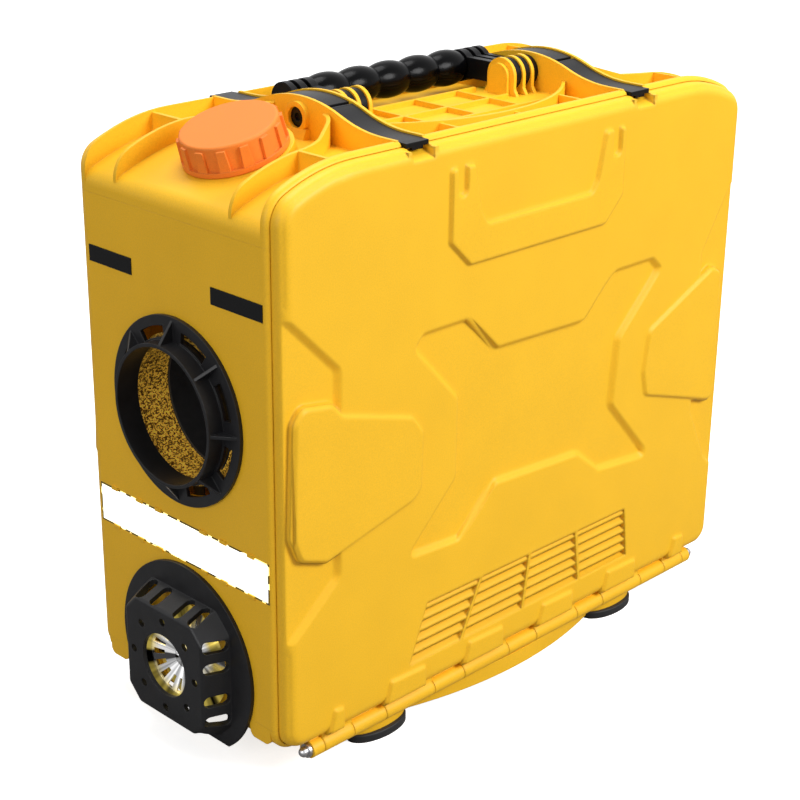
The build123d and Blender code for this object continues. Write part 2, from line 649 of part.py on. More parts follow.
def pin_end_cap(side_x, side_y):
    """Washer and ball nut on one end of a hinge pin."""
    y = side_y * (HALF_WIDTH + HINGE_Y)
    start = END_KNUCKLE[1] + 0.05
    bore = rod_x(-1, PIN_HALF_LENGTH + 0.02 - start, PIN_R)
    cap = rod_x(0, 2.4, 4.6) + rod_x(2, 4, 3.3) + Pos(4, 0, 0) * Sphere(3.3) - bore
    turned = cap if side_x > 0 else Rot(0, 0, 180) * cap
    return Pos(side_x * start, y, HINGE_Z) * turned


# ---------------------------------------------------------------- feet
def foot(x, y):
    """Oval rubber foot with a sunk hole for its screw."""
    pad = slab_z(Ellipse(FOOT_LENGTH / 2, FOOT_WIDTH / 2), 0, FOOT_HEIGHT)
    pad = fillet(pad.edges().sort_by(Axis.Z)[-1], 1.0)
    pad = pad - rod_z(-1, FOOT_HEIGHT + 1, SCREW_R) - rod_z(-1, 3.2, 4.2)
    return Pos(x, y, 0) * pad


def foot_screw(x, y):
    """Pan-head screw that holds one foot."""
    return rod_z(1.2, 3.2, 4.0, x, y) + rod_z(1.2, 17, SCREW_R, x, y)


# ---------------------------------------------------------------- latches and handle
STRAP_TIP = HALF_WIDTH + 3.0
STRAP_SPLIT = 0.5  # gap between a latch's knuckle and the fixed middle of the strap
SADDLE_R = 11.7


def strap_band():
    """Both straps' outline in YZ: it follows the arch to a blunt tip at each end."""
    end = HALF_WIDTH - 2.5
    top = arch_edges(1.0, end)
    low = arch_edges(1.0 + STRAP_THICKNESS, end)
    top_z = ARCH_FOOT - 1.0
    low_z = top_z - STRAP_THICKNESS
    tip_top = 389.8
    tip_low = 387.0
    ends = []
    for sign in (-1, 1):
        ends.append(Line((sign * end, top_z), (sign * STRAP_TIP, tip_top)))
        ends.append(Line((sign * STRAP_TIP, tip_top), (sign * STRAP_TIP, tip_low)))
        ends.append(Line((sign * STRAP_TIP, tip_low), (sign * end, low_z)))
    return make_face(top + low + ends)


def latch_saddle():
    """Fixed middle of a strap about x = 0, on the handle's axle between the arch's walls."""
    half = STRAP_WIDTH / 2
    reach = LATCH_PIVOT[0] - LATCH_KNUCKLE_R - STRAP_SPLIT
    saddle = slab_x(strap_band(), -half, half) & box(-half, half, -reach, reach, 370, 420)
    return saddle + rod_x(-half, half, SADDLE_R, 0, AXLE_Z) - rod_x(-20, 20, AXLE_R, 0, AXLE_Z)


def latch_arm():
    """A front latch about x = 0: the strap's end on its own knuckle, with a tooth over the door."""
    half = STRAP_WIDTH / 2
    pivot_y, pivot_z = LATCH_PIVOT
    arm = slab_x(strap_band(), -half, half) & box(-half, half, -100, -pivot_y, 370, 420)
    arm += box(-4.5, 4.5, -STRAP_TIP, -STRAP_TIP + 2.0, 385.3, 388)
    arm += rod_x(-half, half, LATCH_KNUCKLE_R, -pivot_y, pivot_z)
    pin = half + STRAP_GAP + TRUNNION_REACH - 0.1
    return arm + rod_x(-pin, pin, TRUNNION_R, -pivot_y, pivot_z)


def handle_axle():
    """Headed axle through the arch, the saddle, the lugs and the handle, on the +X side."""
    head_x = AXLE_BOSS_X - AXLE_SUNK - AXLE_HEAD
    axle = rod_x(LUG_X[0] - LUG_THICKNESS / 2, head_x, AXLE_R, 0, AXLE_Z)
    head = rod_x(head_x, head_x + AXLE_HEAD, AXLE_HEAD_R, 0, AXLE_Z)
    return axle + head - rod_x(head_x + 1.5, head_x + 4, 2.6, 0, AXLE_Z)


FINGER_R = 11.0
FINGER_HALF = 7.0
CORE_R = 8.0


def handle_fingers():
    """X ranges of the handle's fingers between the lugs, on the +X side."""
    wall = STRAP_X - STRAP_WIDTH / 2 - 0.5 - ARCH_WALL
    faces = [x + LUG_THICKNESS / 2 for x in LUG_X]
    backs = [x - LUG_THICKNESS / 2 for x in LUG_X[1:]] + [wall]
    return [(start + FACE_GAP, end - FACE_GAP) for start, end in zip(faces, backs)]


def carry_handle():
    """Handle frame folded back: six fingers on the axles and the bar that the grip covers."""
    frame = rod_x(-91.5, 91.5, CORE_R, GRIP_REACH, AXLE_Z)
    for x0, x1 in handle_fingers():
        finger = rod_x(x0, x1, FINGER_R, 0, AXLE_Z)
        finger += box(x0, x1, 0, GRIP_REACH, AXLE_Z - FINGER_HALF, AXLE_Z + FINGER_HALF)
        finger += rod_x(x0, x1, FINGER_R, GRIP_REACH, AXLE_Z)
        frame += finger + mirror_x(finger)
    for sign in (-1, 1):
        frame -= rod_x(sign * 60, sign * 100, AXLE_R + RUNNING_GAP, 0, AXLE_Z)
    return frame


GRIP_LOBES = 5


def handle_grip():
    """Rubber grip with five finger lobes, moulded round the bar between the fingers."""
    half = LUG_X[0] + LUG_THICKNESS / 2 + 0.4
    pitch = 2 * half / GRIP_LOBES
    waist = GRIP_R - 2.8
    grip = Part()
    for lobe in range(GRIP_LOBES):
        left = -half + lobe * pitch
        right = left + pitch
        edges = [
            Line((left, 0), (left, waist)),
            ThreePointArc((left, waist), ((left + right) / 2, GRIP_R), (right, waist)),
            Line((right, waist), (right, 0)),
            Line((right, 0), (left, 0)),
        ]
        grip += revolve(make_face(edges), Axis.X)
    return Pos(0, GRIP_REACH, AXLE_Z) * (grip - rod_x(-100, 100, CORE_R))


# ---------------------------------------------------------------- fuel system
CAP_BARS = 14
CAP_BAR_WIDTH = (7.0, 5.2)  # at its foot and its top
CAP_BAR_OUT = 1.5
CAP_ROOF = CAP_HEIGHT - 3.5  # underside of the cap's top
SEAL_TOP = CAP_ROOF - 0.05


def filler_cap():
    """Screw cap with a plain lip and raised grip bars that end below its flat top."""
    foot_r = CAP_SKIRT_R - 0.3
    body = Pos(0, 0, CAP_HEIGHT / 2) * Cone(foot_r - CAP_BAR_OUT, CAP_TOP_R - 0.3, CAP_HEIGHT)
    body = fillet(body.edges().sort_by(Axis.Z)[-1], 1.6)
    cap = body + Pos(0, 0, CAP_LIP / 2) * Cylinder(CAP_SKIRT_R, CAP_LIP)
    top = CAP_HEIGHT - 2.4
    foot = Plane.XY.offset(CAP_LIP - 0.5) * Pos(foot_r / 2, 0) * Rectangle(foot_r, CAP_BAR_WIDTH[0])
    head_r = CAP_TOP_R + CAP_BAR_OUT
    head = Plane.XY.offset(top) * Pos(head_r / 2, 0) * Rectangle(head_r, CAP_BAR_WIDTH[1])
    bar = loft([foot.faces()[0], head.faces()[0]])
    for turn in range(CAP_BARS):
        cap += Rot(0, 0, (turn + 0.5) * 360 / CAP_BARS) * bar
    cap -= Pos(0, 0, (CAP_ROOF - 1) / 2) * Cylinder(NECK_R + 3.2, CAP_ROOF + 1)
    return cap_place() * cap


def cap_seal():
    """Rubber ring between the cap and the neck."""
    ring = Pos(0, 0, SEAL_TOP - 1) * (Cylinder(NECK_R, 2) - Cylinder(NECK_R - 6, 3))
    return cap_place() * ring


TANK = (-203.0, 182.0, -71.0, 71.0, 292.0, 352.0)
NECK_WALL = 4.0
NECK_TOP = SEAL_TOP - 2.05


def fuel_tank():
    """Blow-moulded tank under the deck with its filler neck and outlet spigot."""
    x0, x1, y0, y1, z0, z1 = TANK
    tank = fillet(box(*TANK).edges(), 12)
    low = 70.0
    neck_top = cap_place() * (Pos(0, 0, NECK_TOP - low / 2) * Cylinder(NECK_R, low))
    neck_top -= box(-260, -80, -80, 80, 200, z1 - 8)
    tank += neck_top
    inner = fillet(box(x0 + 3, x1 - 3, y0 + 3, y1 - 3, z0 + 3, z1 - 3).edges(), 9)
    bore = cap_place() * (Pos(0, 0, NECK_TOP - low / 2 + 2) * Cylinder(NECK_R - NECK_WALL, low))
    bore -= box(-260, -80, -80, 80, 200, z1 - 6)
    tank = tank - inner - bore
    tank += rod_z(z0 - 14, z0 + 1, 4, *FILTER_AT)
    return tank - rod_z(z0 - 20, z0 + 4, 2, *FILTER_AT)


FILTER_AT = (165.0, 45.0)
FILTER = (240.0, 277.0)
PUMP = (125.0, 195.0)
PUMP_R = 13.0
HOSE_R = 2.5


def fuel_filter():
    """In-line filter pushed on the tank's spigot."""
    low, high = FILTER
    body = rod_z(low + 8, high - 6, 10, *FILTER_AT)
    body = fillet(body.edges(), 2)
    body += rod_z(high - 8, high + 8, 6, *FILTER_AT) + rod_z(low, low + 10, 3, *FILTER_AT)
    return body - rod_z(high - 4, high + 20, 4, *FILTER_AT)


def fuel_hose_upper():
    """Hose from the filter down to the pump."""
    low, high = PUMP[1] - 4, FILTER[0] + 6
    return rod_z(low, high, 5, *FILTER_AT) - rod_z(low - 1, high + 1, 3, *FILTER_AT)


def fuel_pump():
    """Dosing pump, upright."""
    low, high = PUMP
    pump = rod_z(low, high - 12, PUMP_R, *FILTER_AT) + rod_z(high - 14, high, 3, *FILTER_AT)
    pump += rod_z(low - 12, low + 2, 3, *FILTER_AT)
    return pump + Pos(FILTER_AT[0], FILTER_AT[1], low + 22) * Cylinder(PUMP_R + 1.2, 3)


def pump_mount():
    """Rubber sleeve that holds the pump to the right end wall."""
    low = PUMP[0] + 28
    high = low + 18
    x, y = FILTER_AT
    mount = rod_z(low, high, PUMP_R + 4, x, y)
    mount += box(x, HALF_LENGTH - SHELL - 0.2, y - 8, y + 8, low + 3, high - 3)
    return mount - rod_z(low - 1, high + 1, PUMP_R, x, y)


BURNER_FEED_X = 44.0


def fuel_hose_lower():
    """Hose from the pump to the burner, under the heater."""
    x, y = FILTER_AT
    route = [
        (x, y, PUMP[0] - 12),
        (x, y, 84),
        (122, 34, 70),
        (80, 12, 78),
        (BURNER_FEED_X, EXHAUST_Y, 104),
        (BURNER_FEED_X, EXHAUST_Y, 166),
    ]
    path = FilletPolyline(*route, radius=14)
    section = Plane(path @ 0, z_dir=path % 0) * Circle(HOSE_R)
    return sweep(section, path=path)


# ---------------------------------------------------------------- hot air path
SPIGOT_WALL = 2.2
GUSSETS = 8
RING_SLOT = (46.2, 53.4, 13.0)  # inner and outer radius, and half its angle


def outlet_ring():
    """Duct spigot with its slotted flange and eight gussets."""
    face = -HALF_LENGTH
    bore = SPIGOT_R - SPIGOT_WALL
    ring = tube_x(face - 2.6, face, FLANGE_R, bore, HEATER_Y, HEATER_Z)
    ring += tube_x(-SPIGOT_TIP, -SPIGOT_ROOT, SPIGOT_R, bore, HEATER_Y, HEATER_Z)
    tip = -SPIGOT_TIP + 1.0
    gusset = polygon([(face - 2, 0.0), (face - 2, 14.6), (tip, 0.9), (tip, 0.0)])
    web = Pos(0, -1.0, SPIGOT_R - 0.9) * slab_y(gusset, 0, 2.0)
    inner, outer, spread = RING_SLOT
    side = 90 * sin(radians(spread))
    height = 90 * cos(radians(spread))
    sector = slab_x(polygon([(0, 0), (side, height), (-side, height)]), face - 5, face + 1)
    slot = tube_x(face - 5, face + 1, outer, inner) & sector
    centre = Pos(0, HEATER_Y, HEATER_Z)
    for turn in range(GUSSETS):
        angle = (turn + 0.5) * 360 / GUSSETS
        ring += centre * Rot(angle + 180 / GUSSETS, 0, 0) * web
        ring -= centre * Rot(angle, 0, 0) * slot
    return ring


CASING = (-150.0, 155.0)
CASING_R = 60.0
CASING_WALL = 2.5
DUCT_R = 48.0
HOOD_TIP = -190.0  # the heater's outlet hood reaches this far into the duct


def outlet_duct():
    """Moulded duct from the heater to the left end wall."""
    start = -HALF_LENGTH + SHELL + 0.1
    return tube_x(start, CASING[0] - 0.1, DUCT_R, DUCT_R - 2, HEATER_Y, HEATER_Z)


def heater_casing(upper):
    """One half of the heater's plastic casing."""
    x0, x1 = CASING
    shell = tube_x(x0, x1, CASING_R, CASING_R - CASING_WALL, HEATER_Y, HEATER_Z)
    hood = DUCT_R - 2.3
    shell += tube_x(x0, x0 + 3, CASING_R, hood - 2, HEATER_Y, HEATER_Z)
    shell += tube_x(HOOD_TIP, x0 + 1, hood, hood - 2, HEATER_Y, HEATER_Z)
    out = CASING_R + 4
    flange = box(x0 + 10, x1 - 10, HEATER_Y - out, HEATER_Y + out, HEATER_Z - 2.5, HEATER_Z + 2.5)
    shell += flange - rod_x(x0 - 1, x1 + 1, CASING_R - CASING_WALL, HEATER_Y, HEATER_Z)
    if upper:
        return shell & box(-300, 300, -100, 100, HEATER_Z, 400)
    shell = shell & box(-300, 300, -100, 100, 0, HEATER_Z)
    for x, radius in ((EXHAUST_X, PIPE_R), (INTAKE_X, PIPE_R), (BURNER_FEED_X, HOSE_R + 0.6)):
        shell -= rod_z(150, HEATER_Z - 20, radius + 0.6, x, EXHAUST_Y)
    return shell


EXHAUST_X = -20.0
INTAKE_X = 24.0
PIPE_R = 11.0
EXCHANGER_R = 38.0
FINS = 16


def heat_exchanger():
    """Cast exchanger: a closed cup with fins, and the exhaust stub."""
    cup = rod_x(-135, 10, EXCHANGER_R, HEATER_Y, HEATER_Z)
    cup -= rod_x(-130, 11, EXCHANGER_R - 4, HEATER_Y, HEATER_Z)
    for turn in range(FINS):
        fin = box(-130, 0, -1.2, 1.2, EXCHANGER_R - 2, CASING_R - CASING_WALL - 2)
        cup += Pos(0, HEATER_Y, HEATER_Z) * Rot(turn * 360 / FINS + 11.25, 0, 0) * fin
    stub = rod_z(HEATER_Z - 70, HEATER_Z - 34, PIPE_R, EXHAUST_X, EXHAUST_Y)
    cup += stub
    return cup - rod_z(HEATER_Z - 80, HEATER_Z - 30, PIPE_R - 1.5, EXHAUST_X, EXHAUST_Y)


def burner():
    """Burner flange and flame tube."""
    tube = tube_x(-100, 11, 24, 22.5, HEATER_Y, HEATER_Z) + rod_x(10.1, 16, 52, HEATER_Y, HEATER_Z)
    tube -= rod_x(9, 18, 5.1, HEATER_Y, HEATER_Z + 14)
    for turn in range(10):
        for x in (-80, -60, -40):
            tube -= Pos(x, HEATER_Y, HEATER_Z) * Rot(turn * 36, 0, 0) * (Pos(0, 0, 23) * Cylinder(2, 8))
    return tube


def glow_plug():
    """Ignition pin through the burner flange."""
    y, z = HEATER_Y, HEATER_Z + 14
    return rod_x(-18, 17, 5.0, y, z) + rod_x(16.05, 22, 6.5, y, z) + rod_x(21, 24, 2, y, z)


def blower_housing():
    """Combustion air scroll with the motor's seat."""
    y, z = HEATER_Y, HEATER_Z
    shell = tube_x(16.05, 54, 50, 47.5, y, z) + rod_x(50, 54, 50, y, z)
    shell -= rod_z(z - 60, z - 40, PIPE_R - 1.5, INTAKE_X + 2, EXHAUST_Y)
    return shell - rod_x(48, 56, 6, y, z)


SHAFT_R = 3.0


def blower_motor():
    """Motor between the two fans."""
    y, z = HEATER_Y, HEATER_Z
    motor = rod_x(54.05, 105, 24, y, z) + rod_x(54.05, 57, 34, y, z)
    return motor - rod_x(50, 110, SHAFT_R + RUNNING_GAP, y, z)


def rotor_shaft():
    """Motor shaft that carries both fans."""
    return rod_x(30, 148, SHAFT_R, HEATER_Y, HEATER_Z)


def combustion_impeller():
    """Radial wheel that feeds the burner."""
    wheel = rod_x(40, 42.4, 40)
    wheel += rod_x(32, 42.4, 9)
    for turn in range(12):
        blade = box(32, 41, -0.8, 0.8, 14, 38)
        wheel += Rot(turn * 30, 0, 0) * blade
    wheel = Pos(0, HEATER_Y, HEATER_Z) * wheel
    return wheel - rod_x(20, 50, SHAFT_R, HEATER_Y, HEATER_Z)


def hot_air_fan():
    """Axial wheel that drives the hot air."""
    wheel = rod_x(122, 146, 18) - rod_x(121, 140, 15)
    for turn in range(9):
        blade = Pos(134, 0, 33) * Rot(0, 0, 38) * Box(26, 1.8, 36)
        wheel += Rot(turn * 40, 0, 0) * blade
    wheel = wheel & rod_x(120, 148, 52)
    wheel += rod_x(130, 146, 7)
    wheel = Pos(0, HEATER_Y, HEATER_Z) * wheel
    return wheel - rod_x(110, 150, SHAFT_R, HEATER_Y, HEATER_Z)


def inlet_grille():
    """Round air inlet grille on the right end wall."""
    face = HALF_LENGTH
    grille = cone_x(face, FLANGE_R, face + 5, FLANGE_R - 4) - rod_x(face - 1, face + 2.4, INLET_R)
    for inner, outer in ((47, 51), (39, 43), (31, 35), (23, 27), (15, 19)):
        grille -= tube_x(face - 1, face + 6, outer, inner)
    for turn in range(4):
        grille += Rot(turn * 45, 0, 0) * box(face + 2.4, face + 5, -1.5, 1.5, -52, 52)
    grille += tube_x(face - SHELL - 4, face + 2.6, INLET_R - 0.2, INLET_R - 2.4)
    return Pos(0, HEATER_Y, HEATER_Z) * grille


SHELF_Z = (161.0, 163.0)
POST_X = (-152.0, 134.0)
POST_Y = 64.0
POST_R = 4.0


def shelf_posts():
    """Four posts between the floor pan and the shelf."""
    posts = Part()
    for x in POST_X:
        for y in (-POST_Y, POST_Y):
            posts += rod_z(BELLY_Z + 3.05, SHELF_Z[0], POST_R, x, y)
    return posts


def heater_shelf():
    """Steel shelf with two saddles that carry the heater."""
    shelf = box(-160, 142, -70, 70, *SHELF_Z)
    for x in (-120, 118):
        saddle = box(x - 2, x + 12, -42, 42, SHELF_Z[1], 186)
        shelf += saddle - rod_x(-200, 200, CASING_R + 0.05, HEATER_Y, HEATER_Z)
    shelf -= rod_z(150, 170, PIPE_R + 1.2, EXHAUST_X, EXHAUST_Y)
    shelf -= rod_z(150, 170, PIPE_R + 1.2, INTAKE_X, EXHAUST_Y)
    return shelf - rod_z(150, 170, HOSE_R + 1, BURNER_FEED_X, EXHAUST_Y)


# ---------------------------------------------------------------- exhaust
PIPE_BEND = 28.0
MUFFLER = (-165.0, -60.0)


def bent_pipe(points):
    """A round pipe along straight runs with tangent bends."""
    path = FilletPolyline(*points, radius=PIPE_BEND)
    at = Plane(path @ 0, z_dir=path % 0)
    ring = at * (Circle(PIPE_R) - Circle(PIPE_R - 1.5))
    return sweep(ring, path=path)


def exhaust_pipe():
    """Pipe from the exchanger down to the muffler."""
    top = HEATER_Z - 70.05
    end = MUFFLER[1] + 0.05
    corner = (EXHAUST_X, EXHAUST_Y, EXHAUST_Z)
    return bent_pipe([(EXHAUST_X, EXHAUST_Y, top), corner, (end, EXHAUST_Y, EXHAUST_Z)])


def exhaust_muffler():
    """Muffler with its tail pipe."""
    x0, x1 = MUFFLER
    body = fillet(rod_x(x0, x1, 27, EXHAUST_Y, EXHAUST_Z).edges(), 4)
    body += rod_x(-206, x0 + 2, PIPE_R, EXHAUST_Y, EXHAUST_Z)
    return body - rod_x(-207, x0 + 20, PIPE_R - 1.5, EXHAUST_Y, EXHAUST_Z)


def intake_pipe():
    """Combustion air pipe from the blower down to the floor pan."""
    pipe = rod_z(BELLY_Z + 3.05, 172, PIPE_R, INTAKE_X, EXHAUST_Y)
    return pipe - rod_z(0, 200, PIPE_R - 1.5, INTAKE_X, EXHAUST_Y)


GUARD_BASE_HALF = 45.0
GUARD_FRONT_HALF = 38.0
GUARD_CHAMFER = 11.0
GUARD_PLATE = 2.6
SLOT_OFFSETS = (-26.0, -11.5, 11.5, 26.0)


def octagon(half, cut):
    """A square with cut corners in YZ, about its own centre."""
    return polygon([
        (-half, -half + cut), (-half + cut, -half), (half - cut, -half), (half, -half + cut),
        (half, half - cut), (half - cut, half), (-half + cut, half), (-half, half - cut),
    ])


def guard_box(shrink, x0, x1):
    """The guard's tapered box between two X planes, made smaller by shrink."""
    low = Plane.YZ.offset(x0) * octagon(GUARD_FRONT_HALF - shrink, GUARD_CHAMFER)
    high = Plane.YZ.offset(x1) * octagon(GUARD_BASE_HALF - shrink, GUARD_CHAMFER + 2)
    return loft([low.faces()[0], high.faces()[0]])


GUARD_HOLE_R = 21.2
GUARD_SLOT_R = 3.6


def exhaust_guard():
    """Black burn guard: a cut disc with a slotted, tapered box."""
    face = -HALF_LENGTH
    disc = rod_x(face - GUARD_PLATE, face, GUARD_R)
    disc &= box(face - 5, face + 1, -80, 80, 13.3 - EXHAUST_Z, 80)
    shell = guard_box(0, -REACH, face - 1)
    shell = fillet(shell.edges().sort_by(Axis.X)[8:16], 5.0)
    shell = fillet(shell.faces().sort_by(Axis.X)[0].edges(), 3.0)
    guard = disc + shell - guard_box(2.6, -REACH + 2.8, face + 0.5)
    for turn in range(4):
        for across in SLOT_OFFSETS:
            slot = box(-REACH + 0.9, face - GUARD_PLATE - 0.6, across - 3.9, across + 3.9, 30, 52)
            slot = fillet(slot.edges().filter_by(Axis.Z), GUARD_SLOT_R)
            guard -= Rot(turn * 90, 0, 0) * slot
    for turn in range(8):
        hole = rod_x(-REACH - 1, -REACH + 4, 2.7, 0, 30.4)
        guard -= Rot(turn * 45, 0, 0) * hole
    guard -= rod_x(-REACH - 1, -REACH + 4, GUARD_HOLE_R)
    return Pos(0, EXHAUST_Y, EXHAUST_Z) * guard


FUNNEL = (-234.0, -222.5)
FUNNEL_R = (30.0, 6.5)
FUNNEL_SHEET = 1.3  # measured along X
NOZZLE_END = -204.0
SHIELD_R = 36.0
SLITS = 14


def exhaust_nozzle():
    """Stainless funnel behind the guard with radial slits, a swirl plate, its tail and heat shield."""
    x0, x1 = FUNNEL
    wide, narrow = FUNNEL_R
    tail_x = x1 - 4.0
    shape = cone_x(x0, wide, x1, narrow) + rod_x(tail_x, NOZZLE_END, PIPE_R + 1.6)
    shape += rod_x(-215.5, -214.2, SHIELD_R)
    shape -= rod_x(x1, NOZZLE_END + 1, PIPE_R + 0.05)
    shape -= cone_x(x0 - FUNNEL_SHEET, wide, x1 - FUNNEL_SHEET, narrow)
    slit = slab_x(polygon([(-1.3, 13.0), (1.3, 13.0), (2.3, 20.5), (-2.3, 20.5)]), x0, x1)
    for turn in range(SLITS):
        shape -= Rot((turn + 0.5) * 360 / SLITS, 0, 0) * slit
    for turn in range(5):
        gap = Pos(0, 0, 3.4) * Rot(35, 0, 0) * box(x1 - 2, x1 + 1, -0.7, 0.7, -2.2, 2.2)
        shape -= Rot(turn * 72, 0, 0) * gap
    return Pos(0, EXHAUST_Y, EXHAUST_Z) * shape


# ---------------------------------------------------------------- light and end fittings
def light_tray():
    """White tray with the row of light-emitting diodes."""
    low, high = LIGHT_Z
    face = -HALF_LENGTH
    tray = box(face + 1.5, face + 9, -LIGHT_HALF + 6.1, LIGHT_HALF - 6.1, low + 2.1, high - 2.1)
    tray -= box(face + 1, face + 7.4, -LIGHT_HALF + 8, LIGHT_HALF - 8, low + 4, high - 4)
    for step in range(-5, 6):
        tray += box(face + 6.6, face + 7.6, step * 13.0 - 2, step * 13.0 + 2, 139.2, 143.2)
    return tray


def light_lens():
    """Opal lens, flush with the left end wall."""
    low, high = LIGHT_Z
    face = -HALF_LENGTH
    gap = 0.15
    lens = box(face + 0.05, face + 1.45, -LIGHT_HALF + gap, LIGHT_HALF - gap, low + gap, high - gap)
    for y in CLIP_Y:
        for z in LIGHT_Z:
            lens -= box(face - 1, face + 1.5, y - 3.1, y + 3.1, z - 1.3, z + 1.3)
    return lens


def slot_plug(y0, y1):
    """Glossy blanking plug in the left end wall."""
    face = -HALF_LENGTH
    low, high = PLUG_Z
    plug = box(face - 0.4, face + PLUG_DEPTH, y0 + 0.1, y1 - 0.1, low + 0.1, high - 0.1)
    return plug + box(face + 1, face + 5, y0 + 4.1, y1 - 4.1, low + 2.1, high - 2.1)


KNOB_AT = (31.0, 330.0)
KNOB_R = 12.0
BUTTONS = (20.0, 42.0)
BUTTON_Z = 310.0
PANEL_FACE = HALF_LENGTH + 3.0
WINDOW = (-48.0, 10.0, 304.0, 340.0)


def control_panel():
    """Black panel on the right end wall with places for the display, knob and buttons."""
    y0, y1, z0, z1 = PANEL
    panel = box(HALF_LENGTH, PANEL_FACE, y0, y1, z0, z1)
    panel = fillet(panel.edges().filter_by(Axis.X), 6)
    panel += box(HALF_LENGTH - 8, HALF_LENGTH + 0.5, y0 + 5.1, y1 - 5.1, z0 + 5.1, z1 - 5.1)
    panel -= box(HALF_LENGTH - 9, HALF_LENGTH + 0.2, y0 + 7.1, y1 - 7.1, z0 + 7.1, z1 - 7.1)
    w0, w1, w2, w3 = WINDOW
    panel -= box(PANEL_FACE - 1.2, PANEL_FACE + 1, w0, w1, w2, w3)
    panel -= box(HALF_LENGTH - 1, PANEL_FACE, w0 + 2, w1 - 2, w2 + 2, w3 - 2)
    panel -= rod_x(HALF_LENGTH - 1, PANEL_FACE + 1, 3.5, *KNOB_AT)
    for y in BUTTONS:
        panel -= rod_x(HALF_LENGTH - 1, PANEL_FACE + 1, 4.3, y, BUTTON_Z)
    return panel


def display_window():
    """Clear window over the display."""
    w0, w1, w2, w3 = WINDOW
    return box(PANEL_FACE - 1.15, PANEL_FACE - 0.05, w0 + 0.1, w1 - 0.1, w2 + 0.1, w3 - 0.1)


BOARD_X = 206.0


def control_board():
    """Circuit board with the display, the knob's encoder and the button switches."""
    board = box(BOARD_X, BOARD_X + 1.6, -46, 48, 301, 342)
    board += box(BOARD_X + 1.6, PANEL_FACE - 2.2, WINDOW[0] + 3, WINDOW[1] - 3, WINDOW[2] + 3, WINDOW[3] - 3)
    board += box(BOARD_X + 1.6, BOARD_X + 8, KNOB_AT[0] - 6, KNOB_AT[0] + 6, KNOB_AT[1] - 6, KNOB_AT[1] + 6)
    for y in BUTTONS:
        board += box(BOARD_X + 1.6, BOARD_X + 5, y - 3, y + 3, BUTTON_Z - 3, BUTTON_Z + 3)
    return board - rod_x(BOARD_X + 4, PANEL_FACE, 3.05, *KNOB_AT)


def setting_knob():
    """Ribbed knob on its shaft."""
    y, z = KNOB_AT
    knob = rod_x(PANEL_FACE + 0.5, REACH, KNOB_R)
    knob = fillet(knob.edges().sort_by(Axis.X)[-1], 1.5)
    for turn in range(20):
        knob -= Rot(turn * 18, 0, 0) * rod_x(PANEL_FACE + 2, REACH - 3, 0.9, 0, KNOB_R)
    knob -= box(REACH - 0.8, REACH + 1, -0.8, 0.8, 2, KNOB_R - 1.5)
    knob += rod_x(BOARD_X + 4.2, PANEL_FACE + 1, 3.0)
    return Pos(0, y, z) * knob


BUTTON_TRAVEL = 1.0


def panel_button(y):
    """Round push button with the flange that keeps it behind the panel."""
    cap = rod_x(HALF_LENGTH - 1.4, PANEL_FACE + 1.8, 4.0, y, BUTTON_Z)
    cap = fillet(cap.edges().sort_by(Axis.X)[-1], 0.8)
    cap += rod_x(HALF_LENGTH - 1.4, HALF_LENGTH + 0.1, 5.2, y, BUTTON_Z)
    return cap + rod_x(BOARD_X + 5 + BUTTON_TRAVEL + 0.2, HALF_LENGTH - 1.2, 2.5, y, BUTTON_Z)


ROCKER_TILT = 8.0
ROCKER_PIVOT_X = HALF_LENGTH - 3.0


def switch_frame():
    """Frame of the main switch."""
    y, z = SWITCH_Y, SOCKET_Z
    frame = box(HALF_LENGTH, HALF_LENGTH + 2, y - 10.5, y + 10.5, z - 14.5, z + 14.5)
    frame += box(HALF_LENGTH - 18, HALF_LENGTH + 1, y - 7.9, y + 7.9, z - 11.9, z + 11.9)
    frame -= box(HALF_LENGTH - 10, HALF_LENGTH + 4, y - 6.2, y + 6.2, z - 10.4, z + 10.4)
    axle = Pos(ROCKER_PIVOT_X, y, z) * Rot(90, 0, 0) * Cylinder(1.5, 13.5)
    return frame + axle


def switch_rocker():
    """Rocker about a cross axle, drawn tipped to its off side."""
    y, z = SWITCH_Y, SOCKET_Z
    outline = [(-4, -4.5), (-4, 4.5), (3.5, 9.2), (5.6, 9.2), (4.4, 0), (5.6, -9.2), (3.5, -9.2)]
    key = Pos(ROCKER_PIVOT_X, y, z) * Rot(0, ROCKER_TILT, 0) * slab_y(polygon(outline), -5.9, 5.9)
    return key - Pos(ROCKER_PIVOT_X, y, z) * Rot(90, 0, 0) * Cylinder(1.5 + RUNNING_GAP, 20)


def power_inlet():
    """Two-pin direct current inlet."""
    y, z = SOCKET_Y, SOCKET_Z
    inlet = box(HALF_LENGTH, HALF_LENGTH + 3, y - 16, y + 16, z - 12, z + 12)
    inlet = fillet(inlet.edges().filter_by(Axis.X), 3)
    inlet += box(HALF_LENGTH - 16, HALF_LENGTH + 1, y - 11.9, y + 11.9, z - 8.9, z + 8.9)
    inlet -= box(HALF_LENGTH - 12, HALF_LENGTH + 4, y - 10, y + 10, z - 7, z + 7)
    for side in (-5, 5):
        inlet += rod_x(HALF_LENGTH - 13, HALF_LENGTH, 1.6, y + side, z)
    return inlet


def heater_controller():
    """Control box on the shelf's underside."""
    unit = box(-110, -30, 28, 66, 130, 160.9)
    return fillet(unit.edges().filter_by(Axis.Z), 4)


# ---------------------------------------------------------------- write every sub-part
SIDE_NAMES = {-1: "left", 1: "right"}

for name, moulding in case_mouldings().items():
    write(name, moulding)
door = front_door()
write("front_door", door)
write("rear_door", mirror_y(door))
write("front_hinge_pin", hinge_pin())
write("rear_hinge_pin", mirror_y(hinge_pin()))
caps = Part()
for side_x in (-1, 1):
    for side_y in (-1, 1):
        caps += pin_end_cap(side_x, side_y)
write("pin_end_caps", caps)

